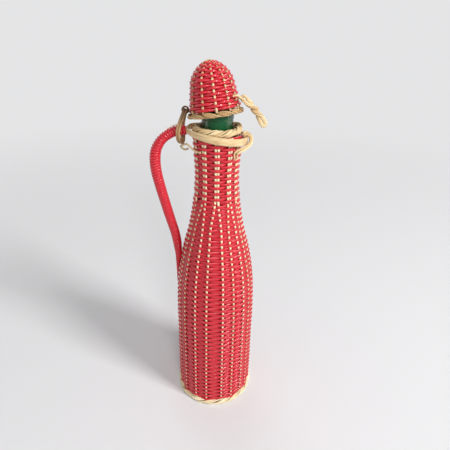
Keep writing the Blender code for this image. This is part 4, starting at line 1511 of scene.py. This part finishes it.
@dataclass
class Handle:
    """Corded handle, the cane loop that carries the cap on it, and the thin loose ends."""

    shop: Workshop
    palette: Palette
    cover: Cover
    pivot: Vector
    bow: float = 0.0280
    drop: float = 0.1423
    thick: float = 0.0051
    start: float = 0.0265
    rise: float = 0.0020
    gap: float = 0.0003
    pitch: float = 0.0024
    cord: Section = Section(0.0022, 0.00245, 12, 0.85)
    full_share: float = 1.15
    core_sink: float = 0.4
    core_least: float = 0.0003
    core_step: float = 0.003
    steps_a_turn: int = 20
    route_shares: tuple[tuple[float, float], ...] = (
        (0.228, 0.0035), (0.468, 0.021), (0.700, 0.052), (0.860, 0.092), (0.951, 0.136), (1.0, 0.192),
        (0.992, 0.269), (0.866, 0.372), (0.674, 0.484), (0.437, 0.599), (0.210, 0.691), (0.045, 0.784),
        (0.0, 0.86), (0.0, 0.92), (0.0, 1.0), (0.0, 1.09),
    )
    taper: Outline = Outline((
        (0.0, 0.87), (0.04, 0.84), (0.09, 0.89), (0.14, 0.96), (0.20, 0.98), (0.32, 0.95), (0.54, 0.91),
        (0.70, 0.87), (0.77, 0.83), (0.83, 0.72), (0.90, 0.52), (1.0, 0.32), (1.09, 0.18),
    ))
    nestle: float = 0.0013
    nestle_shares: tuple[float, float] = (0.70, 0.88)
    loop_cane: Section = Section(0.0018, 0.0021, 10, 0.9)
    loop_half: float = 0.00135
    loop_lean: float = -0.0040
    loop_bow: float = 0.0024
    loop_skew: float = 0.30
    loop_slack: float = 0.0038
    loop_top: float = 0.0018
    loop_shoulder: tuple[float, float] = (0.72, 0.35)
    loop_cheek: float = 0.75
    loop_centre: float = 0.6
    loop_dark: tuple[float, float] = (0.35, 0.002)
    loop_shade: tuple[float, float] = (0.85, 0.35)
    loop_step: float = 0.0008
    ply_share: float = 0.97
    thread: Section = Section(0.0012, 0.0014, 8)
    thread_reach: tuple[float, float] = (0.0062, 0.0150)
    tail: Section = Section(0.0014, 0.0017, 8)
    tail_route: tuple[tuple[float, float, float], ...] = (
        (-0.0240, -0.0085, 0.2798), (-0.0270, -0.0080, 0.2788), (-0.0304, -0.0070, 0.2810),
        (-0.0262, -0.0080, 0.2834), (-0.0237, -0.0095, 0.2827), (-0.0212, -0.0110, 0.2808),
        (-0.0186, -0.0122, 0.2790), (-0.0156, -0.0144, 0.2785), (-0.0135, -0.0165, 0.2788),
    )
    tail_out: tuple[float, float, float] = (-0.3, -0.9, 0.3)
    tail_shade: float = 0.45
    tail_fade: tuple[float, float] = (0.35, 0.60)
    end_step: float = 0.0005
    seed: int = 23

    @property
    def top(self) -> float:
        """Height of the handle's axis where it leaves the neck."""
        return self.cover.height + self.rise

    def radius(self, z: Any) -> Points:
        """Outside radius of the handle."""
        return self.thick * self.taper.at((self.top - np.asarray(z)) / self.drop)

    def route(self, spacing: float) -> Points:
        """Makes the handle's axis, which comes down to the cover and lies close along it.

        Args:
            spacing: distance between points.

        Returns:
            The points, from the neck downwards.
        """
        points = [(-self.start, 0.0, self.top)]
        for out, down in self.route_shares:
            z = self.top - self.drop * down
            close = self.nestle * float(smooth_step(*self.nestle_shares, down))
            on_cover = float(self.cover.radius(z)) + self.gap + float(self.radius(z)) - close
            points.append((-(on_cover + self.bow * out), 0.0, z))
        return smooth_path(points, spacing)

    def height_at(self, x: float) -> float:
        """Height of the axis on its upper stretch.

        Args:
            x: the place.

        Returns:
            The height there.
        """
        path = self.route(self.pitch)
        upper = path[: int(np.argmin(path[:, 0])) + 1]
        return float(np.interp(-x, -upper[:, 0], upper[:, 2]))

    def build(self) -> None:
        """Makes the winding, its core, the loop and the loose strands."""
        shop, palette, cord = self.shop, self.palette, self.cord
        axis = self.route(self.pitch / self.steps_a_turn)
        side = np.array((0.0, 1.0, 0.0))
        radius = self.radius(axis[:, 2])
        full = np.clip(radius / (self.full_share * cord.width), 0, 1)
        winding = Strand(axis, side, girth=full, reach=radius, tone=0.45)
        wrap = shop.sweep("handle_cord", [winding], cord, palette.cord, Lay.WOUND, pitch=self.pitch)
        shop.place(wrap, Body.BOTTLE, Slot.CORD, ["handle_wrap"])
        middle = self.route(self.core_step)
        core_radius = self.radius(middle[:, 2]) - self.core_sink * cord.thickness
        girth = np.maximum(core_radius, self.core_least) / self.thick
        core = Strand(middle, side, girth=girth, tone=0.4, painted_shade=0.35)
        section = Section(2 * self.thick, 2 * self.thick, 16)
        piece = shop.sweep("handle_core_cane", [core], section, palette.cord)
        shop.place(piece, Body.BOTTLE, Slot.CANE, ["handle_core"])
        self.build_loop()
        self.build_ends()

    def build_loop(self) -> None:
        """Makes the doubled cane loop round the handle."""
        rng = np.random.default_rng(self.seed)
        side = self.thick + 2 * self.gap + self.loop_half
        middle = self.height_at(self.pivot.x + self.loop_lean / 2 - self.loop_bow)
        bottom = middle - side - self.loop_slack
        points = [self.loop_point(y, z, middle, bottom) for y, z in self.loop_shape(side, middle)]
        path = smooth_path(points, self.loop_step, closed=True)
        centre = np.array((self.pivot.x + self.loop_lean * self.loop_centre, 0.0, middle))
        # Painted shade: the loop is darkened near its top, in the shadow under the cap, and near its
        # bottom, below the handle.
        share, below = self.loop_dark
        high = smooth_step(middle + share * side, self.pivot.z - below, path[:, 2])
        low = smooth_step(-middle, -bottom, -path[:, 2])
        high_shade, low_shade = self.loop_shade
        painted_shade = high_shade * high + low_shade * low
        strand = Strand(path, unit(path - centre), painted_shade=painted_shade, closed=True)
        plies = strand.bundle(2, self.loop_cane.width * self.ply_share, rng)
        loop = self.shop.sweep("hinge_loop_canes", plies, self.loop_cane, self.palette.tan_cane)
        self.shop.place(loop, Body.BOTTLE, Slot.CANE, ["hinge_loop"])

    def loop_point(self, y: float, z: float, middle: float, bottom: float) -> tuple[float, float, float]:
        """Point of the loop, which bows out from the pivot and lies askew round the handle.

        Args:
            y: place across the handle.
            z: height before the loop follows the handle's slope.
            middle: height of the handle's axis inside the loop.
            bottom: height of the loop's lowest point.

        Returns:
            The point.
        """
        share = (self.pivot.z - z) / (self.pivot.z - bottom)
        x = self.pivot.x + (self.loop_lean + self.loop_skew * y) * share
        x -= self.loop_bow * math.sin(math.pi * share)
        low = float(smooth_step(-self.pivot.z, -middle, -z))
        return x, y, z + low * (self.height_at(x) - middle)

    def loop_shape(self, side: float, middle: float) -> list[tuple[float, float]]:
        """Outline of the loop, down one side of the handle and up the other.

        Args:
            side: how far the loop reaches to each side.
            middle: height of the handle's axis inside it.

        Returns:
            (place across the handle, height) points.
        """
        top, (across, down) = self.pivot.z, self.loop_shoulder
        half = [
            (self.loop_top, top), (side * across, top - side * down),
            (side, middle + side * self.loop_cheek)
        ]
        low = side + self.loop_slack
        half += [(side * math.cos(a), middle - low * math.sin(a)) for a in np.radians((0, 30, 60, 90))]
        return half + [(-y, z) for y, z in reversed(half[:-1])]

    def build_ends(self) -> None:
        """Makes the curled end under the loop and the thread that lies on the handle."""
        path = smooth_path(self.tail_route, self.end_step)
        # Painted shade: the end is darkened where it starts, under the loop.
        shaded_start = self.tail_shade * (1 - smooth_step(*self.tail_fade, np.linspace(0, 1, len(path))))
        end = Strand(path, np.array(self.tail_out), tone=0.2, painted_shade=shaded_start)
        tail = self.shop.sweep("hinge_tail_end", [end], self.tail, self.palette.cream_cane)
        self.shop.place(tail, Body.BOTTLE, Slot.CANE, ["hinge_tail"])
        axis = self.route(self.end_step)
        near, far = (self.start + reach for reach in self.thread_reach)
        upper = axis[:, 2] > self.top - self.bow / 2
        chosen = upper & (-axis[:, 0] > near) & (-axis[:, 0] < far)
        heading = tangents(axis)
        out = np.stack((heading[:, 2], np.zeros(len(axis)), -heading[:, 0]), axis=-1)
        lift = (self.radius(axis[:, 2]) + self.thread.width / 2 - self.gap)[:, None]
        crest = Strand((axis + out * lift)[chosen], out[chosen], tone=0.1)
        thread = self.shop.sweep("handle_thread_end", [crest], self.thread, self.palette.thread)
        self.shop.place(thread, Body.BOTTLE, Slot.CANE, ["handle_thread"])


@dataclass
class NeckBand:
    """Flat cane band round the neck and the doubled catch strand at its right end."""

    shop: Workshop
    palette: Palette
    cover: Cover
    strip: Section = Section(0.0018, 0.0062, 18, 0.75)
    end_share: float = 0.80
    nose: float = 0.0254
    side: float = 0.0230
    drop: float = 0.0010
    slope: float = -0.155
    handle_start: float = 0.0265
    handle_rise: float = 0.0020
    tuck: float = 0.0050
    end_side: float = 0.00115
    stations_deg: tuple[float, ...] = (158, 140, 115, 90, 65, 42, 20)
    catch: Section = Section(0.0020, 0.00195, 10, 0.9)
    catch_drop: float = 0.0180
    catch_turn_deg: float = 44.0
    catch_spread: float = 0.0085
    catch_lean: float = 0.0040
    catch_half: float = 0.0014
    catch_gap: float = 0.0003
    catch_rise: float = 0.0057
    catch_out: tuple[float, float, float] = (0.35, -1.0, 0.25)
    catch_step: float = 0.0007
    foot_out: tuple[float, float, float] = (0.6, 0.3, -0.2)
    foot_heights: tuple[float, float] = (0.002, 0.009)
    foot_spread: float = 0.0011
    foot_thinning: float = 0.3
    ply_share: float = 0.47
    band_half: tuple[float, float] = (0.00105, 0.0033)
    band_step: float = 0.0012
    seed: int = 31

    def build(self) -> None:
        """Makes the band and its catch."""
        middle = self.cover.height - self.drop
        top = self.cover.height + self.handle_rise
        half = [
            (-self.handle_start - self.tuck, self.end_side, top), (-self.handle_start, self.end_side, top)
        ]
        for turn in np.radians(self.stations_deg):
            x = self.nose * math.cos(turn)
            half.append((x, self.side * math.sin(turn), middle + self.slope * x))
        route = half + [(self.nose, 0.0, middle + self.slope * self.nose)]
        route += [(x, -y, z) for x, y, z in reversed(half)]
        path = smooth_path(route, self.band_step)
        heading = tangents(path)
        out = unit(np.cross(heading, np.array((0.0, 0.0, 1.0))))
        centre = path.mean(axis=0)
        out = out * np.sign(np.sum(out * (path - centre), axis=1).sum())
        grow = smooth_step(0, self.nose, path[:, 0] + self.handle_start)
        girth = self.end_share + (1 - self.end_share) * grow
        strand = Strand(path, out, girth, tone=0.45)
        band = self.shop.sweep("neck_band_cane", [strand], self.strip, self.palette.cream_cane)
        self.shop.place(band, Body.BOTTLE, Slot.CANE, ["neck_band"])
        self.build_catch(middle)

    def build_catch(self, middle: float) -> None:
        """Makes the doubled strand that leaves the weave, rounds the band and ends on the rim.

        Args:
            middle: height of the band where it crosses the bottle's axis.
        """
        rng = np.random.default_rng(self.seed)
        thick, gap, (half_thick, half_tall) = self.catch_half, self.catch_gap, self.band_half
        start = self.cover.height - self.catch_drop
        near = float(self.cover.radius(start)) + gap + thick
        nose = self.nose + half_thick + thick
        nose_height = middle + self.slope * self.nose
        top = nose_height + half_tall + thick
        inner = (self.nose + float(self.cover.radius(self.cover.height))) / 2
        front, spread, lean = math.radians(self.catch_turn_deg), self.catch_spread, self.catch_lean
        points = [
            polar(near, front, start), polar(near + gap, front, start + self.catch_rise),
            (nose - lean, -1.5 * spread, nose_height - lean), (nose, -spread, nose_height - thick / 2),
            (nose + gap, -spread / 2, nose_height + 2 * thick),
            (nose - 2 * thick, -2 * thick, top + thick / 2), (inner, -2.4 * thick, top + thick),
            (inner - thick, -spread, top + thick / 2),
        ]
        path = smooth_path(points, self.catch_step)
        foot_start, foot_end = (start + rise for rise in self.foot_heights)
        low = 1 - smooth_step(foot_start, foot_end, path[:, 2])
        out = unit(np.array(self.catch_out) + low[:, None] * np.array(self.foot_out))
        across = unit(np.cross(tangents(path), out))
        girth = 1 - self.foot_thinning * low
        parts = []
        for hand in (-1, 1):
            shift = hand * (self.catch.width * self.ply_share + self.foot_spread * low)[:, None]
            parts.append(Strand(path + across * shift, out, girth, tone=float(rng.random())))
        catch = self.shop.sweep("catch_canes", parts, self.catch, self.palette.cream_cane)
        self.shop.place(catch, Body.BOTTLE, Slot.CANE, ["catch_loop"])


# Cap and latch


@dataclass
class Cap:
    """Woven cap with its canes, folded rim, eye and latch, in its own frame on the hinge."""

    shop: Workshop
    palette: Palette
    hinge: Vector
    swing: Vector
    height: float = 0.0423
    radius: float = 0.0225
    tilt_deg: float = 8.3
    lean_deg: float = -7.0
    aside: float = -0.0010
    eye_out: float = 0.025359
    eye_height: float = 0.0068
    stake_turns: tuple[float, ...] = (
        -64.0, -27.0, 4.0, 36.5, 66.0, 98.6, 131.0, 163.5, 196.0, 228.5, 262.0
    )
    outline: Outline = Outline((
        (0.0, 1.0), (0.118, 0.982), (0.236, 0.946), (0.378, 0.905), (0.520, 0.852), (0.662, 0.796),
        (0.733, 0.733), (0.804, 0.641), (0.887, 0.494), (0.946, 0.332), (0.981, 0.190), (1.0, 0.0),
    ))
    stake: Section = Section(0.0015, 0.0019, 8)
    stake_depth: float = 0.0021
    stake_foot: float = 0.0024
    stake_give: float = 0.00025
    cane_rows: float = 2.5
    cord: Section = Section(0.0020, 0.00232, 12, 0.85)
    weave: Weave = Weave(0.0022, 0.0012, 0.8, 0.94)
    samples: int = 8
    row_pitch: float = 0.00227
    row_at: float = 0.0101
    row_stake: int = 2
    first_row: float = 0.0042
    last_share: float = 0.955
    top_share: float = 0.80
    top_sink: float = 0.75
    top_layer: float = 0.0004
    cane_thinning: float = 0.35
    cord_thinning: float = 0.25
    table_rows: int = 800
    facing_step: float = 0.0004
    eye: Section = Section(0.0015, 0.0015, 8)
    eye_points: int = 28
    eye_thick: float = 0.0018
    eye_gap: float = 0.00035
    loop_thick: float = 0.0027
    staple: Section = Section(0.0018, 0.0018, 8)
    staple_half: float = 0.0009
    staple_side: float = 0.0080
    staple_spread: float = 0.0030
    staple_sink: float = 0.0024
    staple_step: float = 0.0004
    front_lead: float = 0.0020
    front_rise: float = 0.0036
    latch_cane: Section = Section(0.0032, 0.00155, 10, 0.85)
    latch_slope_deg: float = 49.0
    latch_length: float = 0.0258
    latch_bow: float = 0.0014
    latch_points: int = 90
    end_points: int = 9
    root_offset: float = 0.00205
    close_offset: float = 0.00135
    apart_offset: float = 0.00175
    close_shares: tuple[float, float] = (0.02, 0.12)
    apart_shares: tuple[float, float] = (0.75, 0.95)
    twist_shares: tuple[float, float] = (0.10, 0.88)
    girth_shares: tuple[float, float] = (0.0, 0.16)
    root_girth: float = 0.55
    ply_share: float = 0.96
    seed: int = 41

    def __post_init__(self) -> None:
        """Works out the cap's place and the length along its outline."""
        own = Vector((-self.eye_out, 0, self.eye_height))
        turn = Matrix.Rotation(-math.radians(self.tilt_deg), 4, "Y")
        self.upright = Matrix.Translation(self.hinge) @ turn @ Matrix.Translation(-own)
        lean = Matrix.Rotation(math.radians(self.lean_deg), 4, "X")
        self.place = self.upright @ Matrix.Translation((self.aside, 0, 0)) @ lean
        heights = self.height * (1 - (1 - np.linspace(0, 1, self.table_rows)) ** 2)
        radii = self.radius * self.outline.at(heights / self.height)
        steps = np.hypot(np.diff(heights), np.diff(radii))
        self.table = (np.concatenate(([0], np.cumsum(steps))), radii, heights)
        self.turns = np.radians(self.stake_turns)
        self.rng = np.random.default_rng(self.seed)

    def lie(self, length: Points, turn: Any) -> tuple[Points, Points]:
        """Finds places on the cap's outline.

        Args:
            length: lengths up the outline.
            turn: angles round the cap.

        Returns:
            The points and the directions square to the cap there.
        """
        lengths, radii, heights = self.table
        radius, height = np.interp(length, lengths, radii), np.interp(length, lengths, heights)
        step = self.facing_step
        rise = np.interp(length + step, lengths, heights) - np.interp(length - step, lengths, heights)
        draw = np.interp(length + step, lengths, radii) - np.interp(length - step, lengths, radii)
        slant = np.hypot(rise, draw)
        return polar(radius, turn, height), polar(rise / slant, turn, -draw / slant)

    def near_top(self, length: Points) -> Points:
        """How near lengths up the outline are to its top, from 0 to 1."""
        total = self.table[0][-1]
        return smooth_step(self.top_share * total, total, length)

    def weaver(self) -> Strand:
        """The single cord woven up the cap.

        Returns:
            The cord's route on the cap's outline.
        """
        canes = len(self.turns)
        total = self.table[0][-1]
        low = self.row_stake + (self.first_row - self.row_at) * canes / self.row_pitch
        high = self.row_stake + (self.last_share * total - self.row_at) * canes / self.row_pitch
        count = np.linspace(low, high, int((high - low) * self.samples))
        length = self.row_at + (count - self.row_stake) * self.row_pitch / canes
        points, facing = self.lie(length, passed_turn(self.turns, count))
        return Strand(points, facing, 1 - self.cord_thinning * self.near_top(length), count + 1)

    def canes(self) -> list[Strand]:
        """Canes behind the cord, which lean together and cross at the top.

        Returns:
            A strand for each cane.
        """
        length = np.arange(self.stake_foot, self.table[0][-1], self.row_pitch / self.cane_rows)
        top = self.near_top(length)
        girth = 1 - self.cane_thinning * top
        made = []
        for index, turn in enumerate(self.turns):
            points, facing = self.lie(length, turn)
            ahead = index - self.row_stake
            rounds = (length - self.row_at) / self.row_pitch - ahead / len(self.turns)
            give = self.stake_give * math.cos(math.pi * ahead) * np.cos(math.pi * rounds)
            depth = self.stake_depth * (1 - self.top_sink * top) + self.top_layer * (index % 3) * top
            points = points - facing * (depth - give)[:, None]
            made.append(Strand(points, facing, girth, tone=float(self.rng.random())))
        return made

    def build(self) -> None:
        """Makes the cap's pieces and the latch."""
        shop, palette = self.shop, self.palette
        names = [f"cap_stake_{i + 1:02d}" for i in range(len(self.turns))]
        strands = [strand.moved(self.place) for strand in self.canes()]
        canes = shop.sweep("cap_canes", strands, self.stake, palette.cream_cane)
        shop.place(canes, Body.CAP, Slot.CANE, names)
        route = self.weaver().moved(self.place)
        cord = shop.sweep("cap_cord", [route], self.cord, palette.cord, Lay.WOVEN, self.weave)
        shop.place(cord, Body.CAP, Slot.CORD, ["cap_weave"])
        FoldedBorder(
            shop, palette.tan_cane, "cap_rim_canes", "cap_rim", Body.CAP, self.turns, ring=0.0207,
            height=0.0012, half_thick=0.0023, half_tall=0.0020, section=Section(0.0011, 0.0013, 8, 0.9),
            canes=3, spacing=0.00124, reach=1.9, roll_deg=(60.0, -170.0), place=self.place, seed=5
        ).build()
        self.build_eye()
        self.build_staple()
        self.build_latch()

    def build_eye(self) -> None:
        """Makes the eye that hangs on the hinge loop."""
        count = self.eye_points
        turn = np.arange(count) * 2 * math.pi / count
        out = np.stack((np.cos(turn), np.zeros(count), np.sin(turn)), axis=-1)
        ring = self.loop_thick / 2 + self.eye_gap + self.eye_thick / 2
        # Painted shadow: the eye is dark brown and darkened further, as it lies in the shade behind the
        # cap.
        strand = Strand(np.array(self.hinge) + out * ring, out, painted_shade=0.75, closed=True)
        eye = self.shop.sweep("cap_eye_cane", [strand], self.eye, self.palette.brown_cane)
        self.shop.place(eye, Body.CAP, Slot.CANE, ["cap_eye"])

    def build_staple(self) -> None:
        """Makes the small staple that the latch swings on."""
        back = self.upright.inverted() @ self.swing
        side, spread, thick = self.staple_side, self.staple_spread, self.staple_half
        low, high = -side - spread, -side + spread
        front, rear = (low - self.front_lead, back.z + self.front_rise), (high, back.z)
        feet = []
        for y, z in (front, rear):
            wall = self.radius * float(self.outline.at((z - thick) / self.height))
            feet.append((math.sqrt(wall**2 - (abs(y) - thick) ** 2) - self.staple_sink, y, z))
        ahead = (feet[0][0] + self.staple_sink + thick, *front)
        route = [
            feet[0], ahead, (back.x - thick, low, back.z), (back.x, low + thick, back.z),
            (back.x, high - thick, back.z), (back.x - thick, high, back.z), feet[1],
        ]
        path = smooth_path(route, self.staple_step)
        out = unit(path - np.array((feet[1][0], -side, back.z)))
        strand = Strand(path, out, tone=0.3).moved(self.upright)
        staple = self.shop.sweep("latch_staple_cane", [strand], self.staple, self.palette.cream_cane)
        self.shop.place(staple, Body.CAP, Slot.CANE, ["latch_staple"])

    def build_latch(self) -> None:
        """Makes the twisted double strand, each ply of two canes."""
        root, close, apart = self.root_offset, self.close_offset, self.apart_offset
        count, ends = self.latch_points, self.end_points
        share = np.linspace(0, 1, count)
        offset = root + (close - root) * smooth_step(*self.close_shares, share)
        offset = offset + (apart - close) * smooth_step(*self.apart_shares, share)
        twist = 2 * math.pi * smooth_step(*self.twist_shares, share)
        bow = self.latch_bow * np.sin(math.pi * share)
        middle = np.stack((share * self.latch_length, np.zeros(count), bow), axis=-1)
        swing = np.stack((np.zeros(count), offset * np.sin(twist), offset * np.cos(twist)), axis=-1)
        girth = self.root_girth + (1 - self.root_girth) * smooth_step(*self.girth_shares, share)
        turn = np.radians(np.linspace(15, 165, ends))
        half_round = np.stack((np.sin(turn), np.zeros(ends), np.cos(turn)), axis=-1)
        points = np.vstack((
            middle + swing, half_round * apart + (self.latch_length, 0, 0), (middle - swing)[::-1],
            -root * half_round
        ))
        out = np.vstack((swing, half_round, -swing[::-1], -half_round))
        girths = np.concatenate((girth, np.ones(ends), girth[::-1], np.full(ends, self.root_girth)))
        slope = Matrix.Rotation(math.radians(self.latch_slope_deg), 4, "Y")
        strand = Strand(points, unit(out), girths, closed=True)
        strand = strand.moved(Matrix.Translation(self.swing) @ slope)
        plies = strand.bundle(2, self.latch_cane.width * self.ply_share, self.rng)
        latch = self.shop.sweep("latch_plies", plies, self.latch_cane, self.palette.cream_cane)
        self.shop.place(latch, Body.LATCH, Slot.CANE, ["latch_loop"])


# Studio


@dataclass
class Studio:
    """Camera, lights, floor and backdrop."""

    eye: tuple[float, float, float] = (0.0, -0.323595, 0.374166)
    pitch: float = 0.48561
    roll: float = 0.024096
    yaw: float = 0.025922
    lens: float = 30.8
    sensor: float = 36.0
    lamps: tuple[tuple[str, tuple[float, float, float], float, float], ...] = (
        ("key", (1.75, -1.15, 1.65), 0.62, 52.0), ("front", (0.55, -2.10, 1.45), 0.50, 16.0),
        ("fill", (-1.8, -1.5, 0.8), 1.8, 2.5), ("back", (-0.4, 1.8, 1.7), 1.6, 9.0),
    )
    aim: tuple[float, float, float] = (0.0, 0.0, 0.18)
    floor_middle: float = 0.4
    floor_reach: float = 2.6
    floor_steps: int = 96
    wall_height: float = 2.2
    bend: float = 0.9
    bend_points: int = 13
    sky: float = 0.33
    shown: float = 0.78

    def build(self) -> None:
        """Sets up the whole studio."""
        self.build_camera()
        self.build_backdrop()
        for lamp in self.lamps:
            self.lamp(*lamp)
        self.build_world()
        bpy.context.scene.view_settings.view_transform = "Standard"

    def build_camera(self) -> None:
        """Makes the camera at the photograph's angle."""
        ahead = Vector((
            math.sin(self.yaw) * math.cos(self.pitch), math.cos(self.yaw) * math.cos(self.pitch),
            -math.sin(self.pitch)
        ))
        right = ahead.cross(Vector((0, 0, 1))).normalized()
        up = right.cross(ahead)
        side = math.cos(self.roll) * right + math.sin(self.roll) * up
        head = -math.sin(self.roll) * right + math.cos(self.roll) * up
        data = bpy.data.cameras.new("camera")
        data.lens = self.lens
        data.sensor_width = self.sensor
        data.clip_start = 0.01
        camera = bpy.data.objects.new("camera", data)
        place = Matrix((side, head, -ahead)).transposed().to_4x4()
        place.translation = Vector(self.eye)
        camera.matrix_world = place
        bpy.context.scene.collection.objects.link(camera)
        bpy.context.scene.camera = camera

    def build_backdrop(self) -> None:
        """Makes a floor that bends up into a round wall on all sides."""
        bend = [
            (self.floor_reach + self.bend * math.sin(a), self.bend * (1 - math.cos(a)))
            for a in np.radians(np.linspace(0, 90, self.bend_points))
        ]
        rim = (self.floor_reach + self.bend, self.wall_height)
        profile = [(0.0, 0.0), (self.floor_middle, 0.0), *bend, rim]
        paper = BackdropFinish("studio_paper").material()
        floor = Workshop().turned("studio_floor", profile, self.floor_steps, paper)

    def lamp(self, name: str, place: tuple[float, float, float], size: float, power: float) -> None:
        """Makes a square area light that points at the bottle's middle.

        Args:
            name: the light's name.
            place: where it stands.
            size: length of its sides.
            power: its power in watts.
        """
        data = bpy.data.lights.new(name, "AREA")
        data.energy = power
        data.size = size
        light = bpy.data.objects.new(name, data)
        turn = (Vector(self.aim) - Vector(place)).to_track_quat("-Z", "Y").to_matrix().to_4x4()
        light.matrix_world = Matrix.Translation(place) @ turn
        bpy.context.scene.collection.objects.link(light)

    def build_world(self) -> None:
        """Makes an even pale surrounding light."""
        world = bpy.data.worlds.new("studio_world")
        world.use_nodes = True
        world.node_tree.nodes.clear()
        graph = Graph(world.node_tree)
        strength = self.sky + graph.seen() * (self.shown - self.sky)
        light = graph.wire("ShaderNodeBackground", {}, {"Color": (1, 1, 1, 1), "Strength": strength})
        graph.node("ShaderNodeOutputWorld", {}, {"Surface": light})
        bpy.context.scene.world = world


def joint_place(name: str) -> Vector:
    """Place of a joint's axis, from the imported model."""
    return next(Vector(joint["pos_m"]) for joint in frame["joints"] if joint["name"] == name)


def main() -> None:
    """Builds every sub-assembly in order and the studio round them."""
    logging.basicConfig(level=logging.INFO, format="%(message)s")
    Studio().build()
    shop = Workshop()
    palette = Palette.made()
    cover = Cover(shop, palette)
    cover.build()
    Base(shop, palette, cover).build()
    Glass(shop, palette, cover).build()
    Handle(shop, palette, cover, joint_place("cap_hinge")).build()
    NeckBand(shop, palette, cover).build()
    Cap(shop, palette, joint_place("cap_hinge"), joint_place("latch_hinge")).build()


if __name__ == "__main__":
    main()
